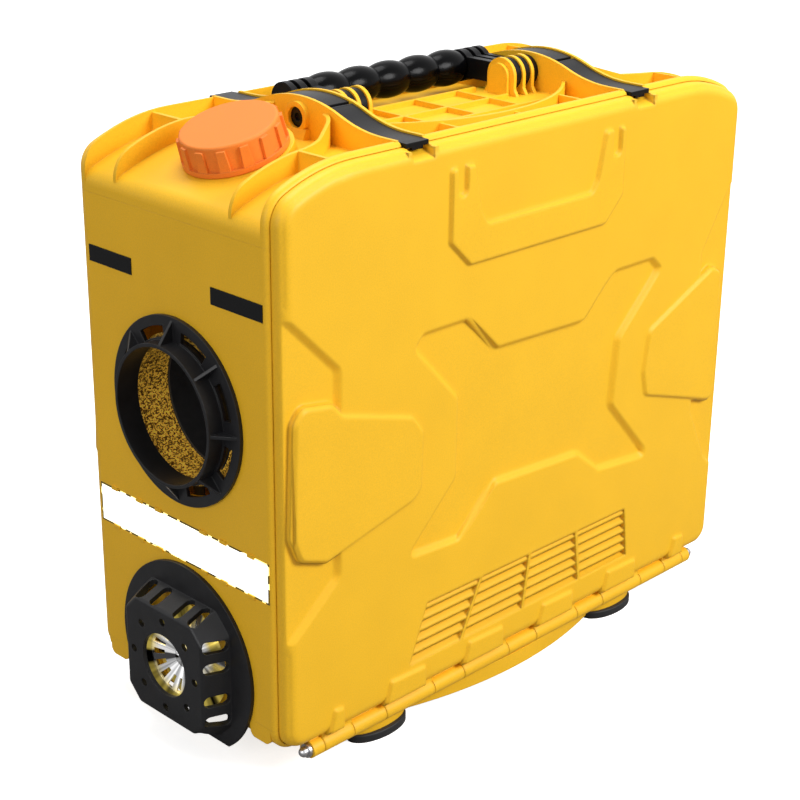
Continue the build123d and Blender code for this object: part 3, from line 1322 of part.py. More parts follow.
feet = Part()
screws = Part()
for x in FOOT_X:
    for y in (-FOOT_Y, FOOT_Y):
        feet += foot(x, y)
        screws += foot_screw(x, y)
write("rubber_feet", feet)
write("foot_screws", screws)

for side_x in (-1, 1):
    write(f"latch_front_{SIDE_NAMES[side_x]}", Pos(side_x * STRAP_X, 0, 0) * latch_arm())
    write(f"latch_rear_{SIDE_NAMES[side_x]}", Pos(side_x * STRAP_X, 0, 0) * mirror_y(latch_arm()))
write("latch_saddles", Pos(-STRAP_X, 0, 0) * latch_saddle() + Pos(STRAP_X, 0, 0) * latch_saddle())
write("carry_handle", carry_handle())
write("handle_grip", handle_grip())
write("handle_axles", handle_axle() + mirror_x(handle_axle()))

write("filler_cap", filler_cap())
write("cap_seal", cap_seal())
write("fuel_tank", fuel_tank())
write("fuel_filter", fuel_filter())
write("fuel_pump", fuel_pump())
write("pump_mount", pump_mount())
write("fuel_hose_upper", fuel_hose_upper())
write("fuel_hose_lower", fuel_hose_lower())

write("outlet_ring", outlet_ring())
write("outlet_duct", outlet_duct())
write("heater_casing_upper", heater_casing(True))
write("heater_casing_lower", heater_casing(False))
write("heat_exchanger", heat_exchanger())
write("burner", burner())
write("glow_plug", glow_plug())
write("blower_housing", blower_housing())
write("blower_motor", blower_motor())
write("rotor_shaft", rotor_shaft())
write("combustion_impeller", combustion_impeller())
write("hot_air_fan", hot_air_fan())
write("inlet_grille", inlet_grille())
write("heater_shelf", heater_shelf())
write("shelf_posts", shelf_posts())
write("heater_controller", heater_controller())

write("exhaust_pipe", exhaust_pipe())
write("exhaust_muffler", exhaust_muffler())
write("intake_pipe", intake_pipe())
write("exhaust_guard", exhaust_guard())
write("exhaust_nozzle", exhaust_nozzle())

write("light_tray", light_tray())
write("light_lens", light_lens())
write("slot_plugs", slot_plug(*PLUG_Y[0]) + slot_plug(*PLUG_Y[1]))
write("control_panel", control_panel())
write("display_window", display_window())
write("control_board", control_board())
write("setting_knob", setting_knob())
write("button_left", panel_button(BUTTONS[0]))
write("button_right", panel_button(BUTTONS[1]))
write("switch_frame", switch_frame())
write("switch_rocker", switch_rocker())
write("power_inlet", power_inlet())
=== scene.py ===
"""Looks of a portable diesel air heater in a yellow carrying case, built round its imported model.

Every length is in metres, in the model's own frame: the outlet end is -X, the front door -Y, up +Z.
"""

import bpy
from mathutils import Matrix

bl_info = {
    "name": "Portable diesel air heater",
    "version": (1, 0, 0),
    "blender": (4, 5, 0),
    "location": "View3D > Sidebar > Air heater",
    "description": "Finishes, light and camera for a diesel air heater in a carrying case",
    "category": "Object",
}

from math import cos, radians, sin

import bpy
from mathutils import Matrix, Vector

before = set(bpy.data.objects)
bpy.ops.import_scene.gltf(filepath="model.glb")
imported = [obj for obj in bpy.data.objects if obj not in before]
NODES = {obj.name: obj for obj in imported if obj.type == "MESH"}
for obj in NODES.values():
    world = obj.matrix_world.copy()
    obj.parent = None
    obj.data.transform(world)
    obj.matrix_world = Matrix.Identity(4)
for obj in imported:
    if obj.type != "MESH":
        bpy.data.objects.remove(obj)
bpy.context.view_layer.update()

MM = 0.001
WHITE = "FFFFFF"
BLACK = "000000"

# Noise seldom leaves this range, so a pattern is stretched from it.
NOISE_LOW, NOISE_HIGH = 0.3, 0.7

# The studio: places and widths in metres, power in watts.
CAMERA_PLACE = (-0.82396, -0.78885, 0.63249)
SENSOR_WIDTH = 36.0
LAMP_AIM = (0.0, 0.0, 0.2)
LAMPS = (
    # name, place, width across, power
    ("Key", (0.7, -2.0, 1.5), 1.2, 52.0),
    ("Top", (0.1, 0.3, 2.2), 1.4, 28.0),
    ("Fill", (-2.0, -0.3, 0.9), 1.2, 10.0),
)
# How strongly the world lights the object. To the camera, in mirrors and through glass it is at 1.
WORLD_LEVEL = 0.30
FLOOR_RADIUS = 6.0
# The floor's glow to the camera alone, which makes its far side fade into the world.
FLOOR_GLOW = 0.72


# ---------------------------------------------------------------- sizes and colours
class HeaterCaseSettings(bpy.types.PropertyGroup):
    """Colours and grain of the moulded case, doors and cap"""

    case_colour: bpy.props.StringProperty(
        name="Case colour", description="sRGB hex of the case and doors", default="FCC328")
    cap_colour: bpy.props.StringProperty(
        name="Cap colour", description="sRGB hex of the filler cap", default="F28732")
    grain: bpy.props.FloatProperty(
        name="Spark-eroded grain", description="Distance between the grain's pits",
        default=0.0009, min=0.0002, max=0.004, unit="LENGTH")


class HeaterFittingSettings(bpy.types.PropertyGroup):
    """Colours of the black fittings and the rubber, and how strongly the light bar is lit"""

    black_colour: bpy.props.StringProperty(
        name="Black fittings", description="sRGB hex of the black moulded fittings", default="1D1D1F")
    rubber_colour: bpy.props.StringProperty(
        name="Rubber", description="sRGB hex of feet, grip and seals", default="161617")
    lamp_strength: bpy.props.FloatProperty(
        name="Light bar", description="How strongly the bar is lit", default=1.6, min=0.0, max=20.0)


class HeaterStageSettings(bpy.types.PropertyGroup):
    """Where the camera looks from, and its lens"""

    azimuth: bpy.props.FloatProperty(
        name="Azimuth", description="Turn of the camera round the case", default=radians(-45.298),
        subtype="ANGLE")
    elevation: bpy.props.FloatProperty(
        name="Elevation", description="Height of the camera over the horizon", default=radians(21.884),
        subtype="ANGLE")
    roll: bpy.props.FloatProperty(
        name="Roll", description="Tilt of the picture", default=radians(0.63), subtype="ANGLE")
    lens: bpy.props.FloatProperty(
        name="Lens", description="Focal length for a 36 mm sensor", default=79.78, min=20, max=200)


# ---------------------------------------------------------------- helpers
def linear(code):
    """An sRGB hex colour as the linear red, green, blue and alpha that a shader takes, by the
    standard sRGB curve."""
    channels = [int(code[i:i + 2], 16) / 255 for i in (0, 2, 4)]
    return tuple(c / 12.92 if c <= 0.04045 else ((c + 0.055) / 1.055) ** 2.4 for c in channels) + (1.0,)


def add(tree, kind, inputs=None, **settings):
    """Adds a shader node with its settings; an input is a value or the socket that feeds it."""
    node = tree.nodes.new("ShaderNode" + kind)
    for name, value in settings.items():
        setattr(node, name, value)
    for name, value in (inputs or {}).items():
        if isinstance(value, bpy.types.NodeSocket):
            tree.links.new(value, node.inputs[name])
        else:
            node.inputs[name].default_value = value
    return node


def start_material(name):
    """A new material, its empty node tree, and the place on the piece in metres."""
    material = bpy.data.materials.new(name)
    material.use_nodes = True
    tree = material.node_tree
    tree.nodes.clear()
    place = add(tree, "TexCoord").outputs["Object"]
    return material, tree, place


def close_material(tree, shader):
    """Feeds a shader to the material's output."""
    output = add(tree, "OutputMaterial")
    tree.links.new(shader, output.inputs["Surface"])


def dress(material, *names):
    """Gives CAD nodes this finish and no other."""
    for name in names:
        mesh = NODES[name].data
        mesh.materials.clear()
        mesh.materials.append(material)


def corners_of(name):
    """The lowest and highest corner of a CAD node's mesh."""
    places = [vertex.co for vertex in NODES[name].data.vertices]
    low = [min(place[axis] for place in places) for axis in range(3)]
    high = [max(place[axis] for place in places) for axis in range(3)]
    return low, high


def context_object(name):
    """The object that an operator has just made, renamed."""
    made = bpy.context.view_layer.objects.active
    made.name = name
    made.data.name = name
    return made


def shade_of(tree, place, colour, low, high, size):
    """A colour that drifts between two brightnesses over patches of that size."""
    drift = add(tree, "TexNoise", {"Vector": place, "Scale": 1 / size, "Detail": 3.0, "Roughness": 0.55})
    level = add(tree, "MapRange", {"Value": drift.outputs["Fac"], "From Min": NOISE_LOW,
                                   "From Max": NOISE_HIGH, "To Min": low, "To Max": high})
    return add(tree, "HueSaturation", {"Color": colour, "Value": level.outputs["Result"]}).outputs["Color"]


def soft_edges(tree, height, strength, distance, radius):
    """A normal that carries a relief and catches the light along edges rounded to that radius."""
    rounded = add(tree, "Bevel", {"Radius": radius}, samples=8)
    bump = add(tree, "Bump", {"Height": height, "Strength": strength, "Distance": distance,
                              "Normal": rounded.outputs["Normal"]})
    return bump.outputs["Normal"]


# ---------------------------------------------------------------- finishes
def moulded_polypropylene(name, code, grain, roughness=0.42, edge=0.7 * MM):
    """Glass-filled polypropylene from a spark-eroded mould: an even satin, finely pitted, so that
    the light spreads wide on it, with a slow drift of colour where the melt flowed. The pits are
    drawn about three times as coarse as they are, so that they show."""
    melt_patch, pit_depth = 50 * MM, grain * 0.25
    material, tree, place = start_material(name)
    drifted = shade_of(tree, place, linear(code), 0.97, 1.02, melt_patch)
    pits = add(tree, "TexNoise", {"Vector": place, "Scale": 1 / grain, "Detail": 2.0, "Roughness": 0.6})
    fleck = add(tree, "MapRange", {"Value": pits.outputs["Fac"], "From Min": NOISE_LOW,
                                   "From Max": NOISE_HIGH, "To Min": 0.94, "To Max": 1.045})
    colour = add(tree, "HueSaturation", {"Color": drifted, "Value": fleck.outputs["Result"]})
    sheen = add(tree, "MapRange", {"Value": pits.outputs["Fac"], "To Min": roughness - 0.08,
                                   "To Max": roughness + 0.12})
    normal = soft_edges(tree, pits.outputs["Fac"], 0.14, pit_depth, edge)
    shader = add(tree, "BsdfPrincipled", {
        "Base Color": colour.outputs["Color"], "Roughness": sheen.outputs["Result"], "IOR": 1.49,
        "Specular IOR Level": 0.32, "Normal": normal})
    close_material(tree, shader.outputs["BSDF"])
    return material


def moulded_nylon(name, code, roughness=0.38, gloss=0.3):
    """Moulded nylon: satin and finely pitted from the mould, in a shade that drifts a little, with
    rounded edges that catch the light. The pits are drawn coarser than they are, so that they show."""
    patch, pit, pit_depth, edge = 12 * MM, 0.8 * MM, 0.2 * MM, 0.6 * MM
    material, tree, place = start_material(name)
    colour = shade_of(tree, place, linear(code), 0.8, 1.25, patch)
    pits = add(tree, "TexNoise", {"Vector": place, "Scale": 1 / pit, "Detail": 2.0})
    sheen = add(tree, "MapRange", {"Value": pits.outputs["Fac"], "To Min": roughness - 0.07,
                                   "To Max": roughness + 0.1})
    normal = soft_edges(tree, pits.outputs["Fac"], 0.12, pit_depth, edge)
    shader = add(tree, "BsdfPrincipled", {
        "Base Color": colour, "Roughness": sheen.outputs["Result"], "IOR": 1.53,
        "Specular IOR Level": gloss, "Normal": normal})
    close_material(tree, shader.outputs["BSDF"])
    return material


def gloss_acrylic(name, code):
    """Glossy black acrylic: a dark, smooth surface with sharp reflections and faint wipe marks."""
    wipe, edge = 10 * MM, 0.4 * MM
    material, tree, place = start_material(name)
    wipes = add(tree, "TexNoise", {"Vector": place, "Scale": 1 / wipe, "Detail": 4.0})
    sheen = add(tree, "MapRange", {"Value": wipes.outputs["Fac"], "To Min": 0.12, "To Max": 0.26})
    rounded = add(tree, "Bevel", {"Radius": edge}, samples=4)
    shader = add(tree, "BsdfPrincipled", {
        "Base Color": linear(code), "Roughness": sheen.outputs["Result"], "IOR": 1.49,
        "Specular IOR Level": 0.3, "Normal": rounded.outputs["Normal"]})
    close_material(tree, shader.outputs["BSDF"])
    return material


def moulded_rubber(name, code, roughness=0.6, dust=0.12, gloss=0.4):
    """Moulded rubber: finely pitted, matt where it is rough, with the pale edge light that dust
    gives it. The pits are drawn coarser than they are, so that they show."""
    patch, pit, pit_depth, edge = 6 * MM, 1.2 * MM, 0.3 * MM, 0.6 * MM
    material, tree, place = start_material(name)
    colour = shade_of(tree, place, linear(code), 0.8, 1.3, patch)
    pits = add(tree, "TexNoise", {"Vector": place, "Scale": 1 / pit, "Detail": 3.0})
    normal = soft_edges(tree, pits.outputs["Fac"], 0.2, pit_depth, edge)
    shader = add(tree, "BsdfPrincipled", {
        "Base Color": colour, "Roughness": roughness, "IOR": 1.52, "Specular IOR Level": gloss,
        "Sheen Weight": dust, "Sheen Roughness": 0.5, "Normal": normal})
    close_material(tree, shader.outputs["BSDF"])
    return material


def brushed_metal(name, code, roughness, darkest=0.9, patch=10 * MM, stretch=(1.0, 1.0, 30.0)):
    """Bare metal, duller and shinier by turns: in level drawing marks, drawn coarser than they are so
    that they show, or in even patches where the stretch is 1 each way."""
    mark, edge = 4 * MM, 0.3 * MM
    material, tree, place = start_material(name)
    along = add(tree, "Mapping", {"Vector": place, "Scale": stretch})
    marks = add(tree, "TexNoise", {"Vector": along.outputs["Vector"], "Scale": 1 / mark, "Detail": 4.0})
    sheen = add(tree, "MapRange", {"Value": marks.outputs["Fac"], "To Min": roughness * 0.7,
                                   "To Max": roughness * 1.4})
    colour = shade_of(tree, place, linear(code), darkest, 1.05, patch)
    rounded = add(tree, "Bevel", {"Radius": edge}, samples=4)
    shader = add(tree, "BsdfPrincipled", {
        "Base Color": colour, "Metallic": 1.0, "Roughness": sheen.outputs["Result"],
        "Normal": rounded.outputs["Normal"]})
    close_material(tree, shader.outputs["BSDF"])
    return material


def steel_with_painted_reflections(name, bright, painted_wall_reflection, centre, radius):
    """Mirror polished steel cone with painted reflections: wedges that run to its middle, painted dark
    where they would mirror the guard and bright where they would mirror the day outside, and painted
    yellow near the rim, where they would mirror the wall. A weak glow stands in for the light that runs
    to and fro behind the guard."""
    wedges_per_radian, edge = 1.9, 0.3 * MM
    warm_from, warm_to = 0.45 * radius, 0.62 * radius
    material, tree, place = start_material(name)
    spread = add(tree, "SeparateXYZ", {"Vector": place})
    aside = add(tree, "Math", {0: spread.outputs["Y"], 1: centre[1]}, operation="SUBTRACT").outputs["Value"]
    above = add(tree, "Math", {0: spread.outputs["Z"], 1: centre[2]}, operation="SUBTRACT").outputs["Value"]
    turn = add(tree, "Math", {0: above, 1: aside}, operation="ARCTAN2")
    round_axis = add(tree, "CombineXYZ", {"X": aside, "Y": above})
    out = add(tree, "VectorMath", {0: round_axis.outputs["Vector"]}, operation="LENGTH")
    # Painted reflections: wedges round the cone's axis, dark for the guard and bright for the day outside,
    # yellow near the rim for the wall
    wedges = add(tree, "TexNoise", {"W": turn.outputs["Value"], "Scale": wedges_per_radian, "Detail": 2.0},
                 noise_dimensions="1D")
    level = add(tree, "MapRange", {"Value": wedges.outputs["Fac"], "From Min": 0.4, "From Max": 0.62})
    warm = add(tree, "MapRange", {"Value": out.outputs["Value"], "From Min": warm_from,
                                  "From Max": warm_to})
    lit = add(tree, "MixRGB", {"Fac": warm.outputs["Result"], "Color1": linear(bright),
                               "Color2": linear(painted_wall_reflection)})
    colour = add(tree, "MixRGB", {"Fac": level.outputs["Result"], "Color1": linear("6A6A6C"),
                                  "Color2": lit.outputs["Color"]})
    # The weak glow lights only the bright painted reflections
    glow = add(tree, "MixRGB", {"Fac": level.outputs["Result"], "Color1": linear(BLACK),
                                "Color2": lit.outputs["Color"]})
    rounded = add(tree, "Bevel", {"Radius": edge}, samples=4)
    shader = add(tree, "BsdfPrincipled", {
        "Base Color": colour.outputs["Color"], "Metallic": 1.0, "Roughness": 0.1,
        "Normal": rounded.outputs["Normal"], "Emission Color": glow.outputs["Color"],
        "Emission Strength": 0.4})
    close_material(tree, shader.outputs["BSDF"])
    return material


def foil_with_painted_glints(name, bright, dark, fleck, top):
    """Gold-coloured foil that lines the hot air duct: small embossed facets with painted glints, some
    painted shining while their neighbours stay brown, so that it looks flecked, with painted shade that
    makes it darker towards the duct's top. A weak glow stands in for the light that the foil throws on
    itself inside the duct."""
    shaded_depth, relief = 60 * MM, 0.4 * MM
    material, tree, place = start_material(name)
    # Painted glints: some facets are painted shining gold while their neighbours stay brown
    facets = add(tree, "TexVoronoi", {"Vector": place, "Scale": 1 / fleck, "Randomness": 1.0})
    split = add(tree, "SeparateColor", {"Color": facets.outputs["Color"]})
    level = add(tree, "MapRange", {"Value": split.outputs["Red"], "From Min": 0.25, "From Max": 0.85})
    painted_glints = add(tree, "MixRGB", {"Fac": level.outputs["Result"], "Color1": linear(dark),
                                    "Color2": linear(bright)})
    height = add(tree, "SeparateXYZ", {"Vector": place})
    # Painted shade: darker towards the duct's top, brighter further down
    lower = add(tree, "MapRange", {"Value": height.outputs["Z"], "From Min": top,
                                   "From Max": top - shaded_depth, "To Min": 0.45, "To Max": 1.35})
    colour = add(tree, "HueSaturation", {"Color": painted_glints.outputs["Color"],
                                         "Value": lower.outputs["Result"]}).outputs["Color"]
    bump = add(tree, "Bump", {"Height": split.outputs["Green"], "Strength": 0.5, "Distance": relief})
    shader = add(tree, "BsdfPrincipled", {
        "Base Color": colour, "Metallic": 0.25, "Roughness": 0.34, "Normal": bump.outputs["Normal"],
        "Emission Color": colour, "Emission Strength": 0.2})
    close_material(tree, shader.outputs["BSDF"])
    return material


def natural_polyethylene(name, code):
    """Blow-moulded natural polyethylene: milky, with a waxy surface and soft waviness."""
    wave, wave_height, patch, milky_depth = 20 * MM, 1 * MM, 40 * MM, 4 * MM
    material, tree, place = start_material(name)
    waves = add(tree, "TexNoise", {"Vector": place, "Scale": 1 / wave, "Detail": 2.0})
    bump = add(tree, "Bump", {"Height": waves.outputs["Fac"], "Strength": 0.3, "Distance": wave_height})
    colour = shade_of(tree, place, linear(code), 0.95, 1.03, patch)
    shader = add(tree, "BsdfPrincipled", {
        "Base Color": colour, "Roughness": 0.45, "IOR": 1.51, "Normal": bump.outputs["Normal"],
        "Subsurface Weight": 0.15, "Subsurface Scale": milky_depth})
    close_material(tree, shader.outputs["BSDF"])
    return material


def lit_opal(name, strength, low, high):
    """Opal polycarbonate lit from behind: white in the middle, warmer along its rim, where light
    from the yellow wall gets in, with a thin dark joint line that is broken where the glow spills."""
    spot, least_rim, widest_rim = 9 * MM, 0.6 * MM, 4.5 * MM
    joint_line, line_break = 1.1 * MM, 6 * MM
    material, tree, place = start_material(name)
    spread = add(tree, "SeparateXYZ", {"Vector": place})
    to_rim = []
    for axis, number in (("Y", 1), ("Z", 2)):
        middle, half = (low[number] + high[number]) / 2, (high[number] - low[number]) / 2
        off = add(tree, "Math", {0: spread.outputs[axis], 1: middle}, operation="SUBTRACT")
        size = add(tree, "Math", {0: off.outputs["Value"]}, operation="ABSOLUTE")
        left = add(tree, "Math", {0: half, 1: size.outputs["Value"]}, operation="SUBTRACT")
        to_rim.append(left.outputs["Value"])
    rim = add(tree, "Math", {0: to_rim[0], 1: to_rim[1]}, operation="MINIMUM").outputs["Value"]
    spots = add(tree, "TexNoise", {"Vector": place, "Scale": 1 / spot, "Detail": 2.0})
    reach = add(tree, "MapRange", {"Value": spots.outputs["Fac"], "From Min": 0.35, "From Max": 0.65,
                                   "To Min": least_rim, "To Max": widest_rim})
    inner = add(tree, "Math", {0: rim, 1: reach.outputs["Result"]}, operation="DIVIDE", use_clamp=True)
    warm = add(tree, "MixRGB", {"Fac": inner.outputs["Value"], "Color1": linear("FFEE92"),
                                "Color2": linear(WHITE)})
    thin = add(tree, "Math", {0: rim, 1: joint_line}, operation="LESS_THAN")
    gaps = add(tree, "TexNoise", {"Vector": place, "Scale": 1 / line_break, "Detail": 0.0})
    kept = add(tree, "Math", {0: gaps.outputs["Fac"], 1: 0.44}, operation="GREATER_THAN")
    line = add(tree, "Math", {0: thin.outputs["Value"], 1: kept.outputs["Value"]}, operation="MULTIPLY")
    colour = add(tree, "MixRGB", {"Fac": line.outputs["Value"], "Color1": warm.outputs["Color"],
                                  "Color2": linear("2E2408")})
    shader = add(tree, "BsdfPrincipled", {
        "Base Color": colour.outputs["Color"], "Roughness": 0.3, "IOR": 1.58,
        "Emission Color": colour.outputs["Color"], "Emission Strength": strength})
    close_material(tree, shader.outputs["BSDF"])
    return material


def smoked_acrylic(name):
    """Smoked acrylic window: clear enough to guess the board behind it, with a glossy face."""
    wipe = 12 * MM
    material, tree, place = start_material(name)
    wipes = add(tree, "TexNoise", {"Vector": place, "Scale": 1 / wipe, "Detail": 3.0})
    sheen = add(tree, "MapRange", {"Value": wipes.outputs["Fac"], "To Min": 0.03, "To Max": 0.1})
    shader = add(tree, "BsdfPrincipled", {
        "Base Color": linear("3A4046"), "Roughness": sheen.outputs["Result"], "IOR": 1.49,
        "Transmission Weight": 0.6})
    close_material(tree, shader.outputs["BSDF"])
    return material


# ---------------------------------------------------------------- operators
class HEATER_OT_case(bpy.types.Operator):
    """Finish the case, the doors with their pins, and the feet"""

    bl_idname = "heater.case"
    bl_label = "Case and doors"

    def execute(self, context):
        case = context.scene.heater_case
        yellow = moulded_polypropylene("Moulded polypropylene yellow", case.case_colour, case.grain)
        dress(yellow, "case_base", "case_top", "end_wall_left", "end_wall_right")
        # The doors' edges and reliefs are rounded more broadly than the case's
        doors = moulded_polypropylene("Moulded polypropylene doors", case.case_colour, case.grain,
                                      edge=3.5 * MM)
        dress(doors, "front_door", "rear_door")
        steel = brushed_metal("Zinc plated steel", "C9C9CC", roughness=0.3)
        dress(steel, "front_hinge_pin", "rear_hinge_pin", "pin_end_caps", "foot_screws")
        rubber = moulded_rubber("Moulded rubber feet", context.scene.heater_fittings.rubber_colour)
        dress(rubber, "rubber_feet")
        return {"FINISHED"}


class HEATER_OT_cap(bpy.types.Operator):
    """Finish the filler cap and its seal"""

    bl_idname = "heater.cap"
    bl_label = "Filler cap"

    def execute(self, context):
        case = context.scene.heater_case
        orange = moulded_polypropylene("Moulded polypropylene orange", case.cap_colour, case.grain,
                                       roughness=0.5)
        dress(orange, "filler_cap")
        dress(moulded_rubber("Seal rubber", "1C1C1D"), "cap_seal")
        return {"FINISHED"}


class HEATER_OT_carrying(bpy.types.Operator):
    """Finish the strap latches and the handle"""

    bl_idname = "heater.carrying"
    bl_label = "Latches and handle"

    def execute(self, context):
        black = moulded_nylon("Moulded nylon straps", "0E0E10", roughness=0.34, gloss=0.15)
        dress(black, "latch_front_left", "latch_front_right", "latch_rear_left", "latch_rear_right",
              "latch_saddles", "carry_handle", "handle_axles")
        dress(moulded_rubber("Smooth grip rubber", "030304", roughness=0.2, dust=0.0, gloss=0.08),
              "handle_grip")
        return {"FINISHED"}


class HEATER_OT_outlet(bpy.types.Operator):
    """Finish the hot air spigot and duct, the slot plugs, and the exhaust from burner to guard"""

    bl_idname = "heater.outlet"
    bl_label = "Outlet and exhaust"

    def execute(self, context):
        fittings = context.scene.heater_fittings
        black = moulded_nylon("Moulded nylon fittings", fittings.black_colour)
        dress(black, "outlet_ring", "exhaust_guard")
        duct_top = corners_of("outlet_duct")[1][2]
        # The duct's glints and the shade towards its top are painted into its colour
        foil = foil_with_painted_glints("Embossed gold foil", "FFC74A", "4A2E06", 0.9 * MM, duct_top)
        dress(foil, "outlet_duct")
        dress(gloss_acrylic("Gloss acrylic plugs", "0B0B0C"), "slot_plugs")
        polished = brushed_metal("Polished stainless steel", "D8D8D6", roughness=0.18, darkest=0.8,
                                 patch=20 * MM, stretch=(1.0, 1.0, 1.0))
        dress(polished, "exhaust_pipe", "exhaust_muffler", "burner")
        low, high = corners_of("exhaust_nozzle")
        centre = [(a + b) / 2 for a, b in zip(low, high)]
        radius = (high[2] - low[2]) / 2
        # The cone's reflections are painted into its colour and glow: white for the day outside, yellow for
        # the wall
        dress(steel_with_painted_reflections("Mirror polished steel", "FFFFFF", "FFE36A", centre, radius), "exhaust_nozzle")
        return {"FINISHED"}


class HEATER_OT_light(bpy.types.Operator):
    """Light the bar and finish its tray"""

    bl_idname = "heater.light"
    bl_label = "Light bar"

    def execute(self, context):
        low, high = corners_of("light_lens")
        strength = context.scene.heater_fittings.lamp_strength
        dress(lit_opal("Lit opal polycarbonate", strength, low, high), "light_lens")
        dress(moulded_polypropylene("White tray plastic", "F2F2EE", 0.9 * MM), "light_tray")
        return {"FINISHED"}


class HEATER_OT_controls(bpy.types.Operator):
    """Finish the control panel, the controller and the inlet grille"""

    bl_idname = "heater.controls"
    bl_label = "Controls"

    def execute(self, context):
        black = moulded_nylon("Panel nylon", "303032", roughness=0.45)
        dress(black, "control_panel", "setting_knob", "switch_frame", "power_inlet", "heater_controller",
              "inlet_grille")
        dress(moulded_rubber("Button rubber", "3C3C3F"), "button_left", "button_right")
        dress(gloss_acrylic("Rocker acrylic", "17171A"), "switch_rocker")
        dress(smoked_acrylic("Smoked acrylic window"), "display_window")
        # The board's lacquer is a satin coat, so it is drawn as moulded nylon is
        dress(moulded_nylon("Green solder mask", "1E5A3C", roughness=0.3), "control_board")
        return {"FINISHED"}


class HEATER_OT_inside(bpy.types.Operator):
    """Finish the tank, the fuel line, the heater and the shelf that it stands on"""

    bl_idname = "heater.inside"
    bl_label = "Heater and tank"

    def execute(self, context):
        dress(natural_polyethylene("Natural polyethylene tank", "E6E4D8"), "fuel_tank", "fuel_filter")
        dress(brushed_metal("Cast aluminium", "B4B6B9", roughness=0.5), "heat_exchanger", "blower_housing")
        dress(brushed_metal("Plated steel parts", "BEBEC2", roughness=0.35),
              "fuel_pump", "glow_plug", "blower_motor", "rotor_shaft")
        dress(moulded_nylon("Heater casing nylon", "29292B", roughness=0.5), "heater_casing_upper",
              "heater_casing_lower", "combustion_impeller", "hot_air_fan", "intake_pipe")
        dress(moulded_rubber("Pump mount rubber", "202021"), "pump_mount")
        dress(natural_polyethylene("Green fuel hose", "4F8F4A"), "fuel_hose_upper", "fuel_hose_lower")
        # Powder coat is a satin coat too, drawn as moulded nylon is, only duller
        dress(moulded_nylon("Powder coated steel", "6E7074", roughness=0.55), "heater_shelf", "shelf_posts")
        return {"FINISHED"}


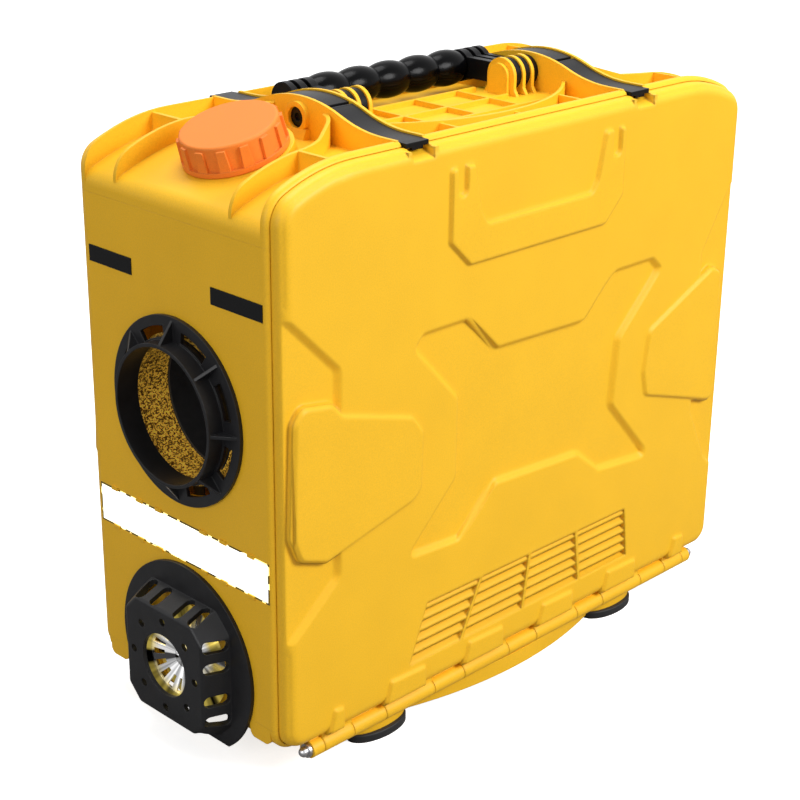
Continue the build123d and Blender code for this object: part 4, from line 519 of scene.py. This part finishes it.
class HEATER_OT_stage(bpy.types.Operator):
    """Set the floor, the soft studio light and the camera"""

    bl_idname = "heater.stage"
    bl_label = "Stage"

    def execute(self, context):
        scene = context.scene
        self.world(scene)
        self.floor()
        self.lamps(scene)
        self.camera(scene)
        return {"FINISHED"}

    def world(self, scene):
        """A world that is white to the camera, in reflections and through glass, and a soft grey light
        to the object."""
        world = bpy.data.worlds.new("Studio")
        scene.world = world
        world.use_nodes = True
        tree = world.node_tree
        tree.nodes.clear()
        path = add(tree, "LightPath")
        seen = add(tree, "Math", {0: path.outputs["Is Camera Ray"], 1: path.outputs["Is Glossy Ray"]},
                   operation="MAXIMUM")
        clear = add(tree, "Math", {0: seen.outputs["Value"], 1: path.outputs["Is Transmission Ray"]},
                    operation="MAXIMUM")
        strength = add(tree, "MapRange", {"Value": clear.outputs["Value"], "To Min": WORLD_LEVEL,
                                          "To Max": 1.0})
        light = add(tree, "Background", {"Color": linear(WHITE), "Strength": strength.outputs["Result"]})
        output = tree.nodes.new("ShaderNodeOutputWorld")
        tree.links.new(light.outputs["Background"], output.inputs["Surface"])

    def floor(self):
        """A floor that the camera sees as pale, so that it fades into the world and keeps the shadow.
        All other light meets a plain grey one, which throws less light up at the object."""
        bpy.ops.object.select_all(action="DESELECT")
        bpy.ops.mesh.primitive_circle_add(vertices=96, radius=FLOOR_RADIUS, fill_type="NGON",
                                          location=(0, 0, 0))
        floor = context_object("studio_floor")
        material, tree, _ = start_material("Matt white floor")
        path = add(tree, "LightPath")
        dull = add(tree, "BsdfDiffuse", {"Color": linear("8A8A8A")})
        pale = add(tree, "BsdfDiffuse", {"Color": linear(WHITE)})
        glow = add(tree, "Emission", {"Color": linear(WHITE), "Strength": FLOOR_GLOW})
        lifted = add(tree, "AddShader", {0: pale.outputs["BSDF"], 1: glow.outputs["Emission"]})
        shown = add(tree, "MixShader", {0: path.outputs["Is Camera Ray"], 1: dull.outputs["BSDF"],
                                        2: lifted.outputs["Shader"]})
        close_material(tree, shown.outputs["Shader"])
        floor.data.materials.append(material)

    def lamps(self, scene):
        """A large soft key from the right of the door, a top light and a weak fill at the outlet end."""
        for name, place, size, power in LAMPS:
            data = bpy.data.lights.new(name, "AREA")
            data.shape = "DISK"
            data.size = size
            data.energy = power
            lamp = bpy.data.objects.new(name, data)
            scene.collection.objects.link(lamp)
            lamp.location = place
            aim = Vector(LAMP_AIM) - Vector(place)
            lamp.rotation_euler = aim.to_track_quat("-Z", "Y").to_euler()

    def camera(self, scene):
        """The photograph's own camera, worked out from the case's straight edges."""
        stage = scene.heater_stage
        azimuth, elevation, roll = stage.azimuth, stage.elevation, stage.roll
        back = Vector((sin(azimuth) * cos(elevation), -cos(azimuth) * cos(elevation), sin(elevation)))
        right = Vector((0, 0, 1)).cross(back).normalized()
        up = back.cross(right)
        across = right * cos(roll) + up * sin(roll)
        upright = up * cos(roll) - right * sin(roll)
        data = bpy.data.cameras.new("Camera")
        data.sensor_width = SENSOR_WIDTH
        data.lens = stage.lens
        camera = bpy.data.objects.new("Camera", data)
        scene.collection.objects.link(camera)
        turn = Matrix((across, upright, back)).transposed()
        camera.matrix_world = Matrix.Translation(CAMERA_PLACE) @ turn.to_4x4()
        scene.camera = camera


# ---------------------------------------------------------------- panel and run
STEPS = (HEATER_OT_case, HEATER_OT_cap, HEATER_OT_carrying, HEATER_OT_outlet, HEATER_OT_light,
         HEATER_OT_controls, HEATER_OT_inside, HEATER_OT_stage)
SETTINGS = {"heater_case": HeaterCaseSettings, "heater_fittings": HeaterFittingSettings,
            "heater_stage": HeaterStageSettings}


class HEATER_PT_panel(bpy.types.Panel):
    """Lists the steps that dress the heater"""

    bl_idname = "HEATER_PT_panel"
    bl_label = "Air heater"
    bl_space_type = "VIEW_3D"
    bl_region_type = "UI"
    bl_category = "Air heater"

    def draw(self, context):
        for step in STEPS:
            self.layout.operator(step.bl_idname)


def register():
    for kind in (*SETTINGS.values(), *STEPS, HEATER_PT_panel):
        bpy.utils.register_class(kind)
    for name, kind in SETTINGS.items():
        setattr(bpy.types.Scene, name, bpy.props.PointerProperty(type=kind))


def unregister():
    for name in SETTINGS:
        delattr(bpy.types.Scene, name)
    for kind in (HEATER_PT_panel, *reversed(STEPS), *SETTINGS.values()):
        bpy.utils.unregister_class(kind)


def main():
    """Dresses the whole heater."""
    register()
    scene = bpy.context.scene
    scene.view_settings.view_transform = "Standard"
    bpy.ops.heater.case()
    bpy.ops.heater.cap()
    bpy.ops.heater.carrying()
    bpy.ops.heater.outlet()
    bpy.ops.heater.light()
    bpy.ops.heater.controls()
    bpy.ops.heater.inside()
    bpy.ops.heater.stage()


if __name__ == "__main__":
    main()
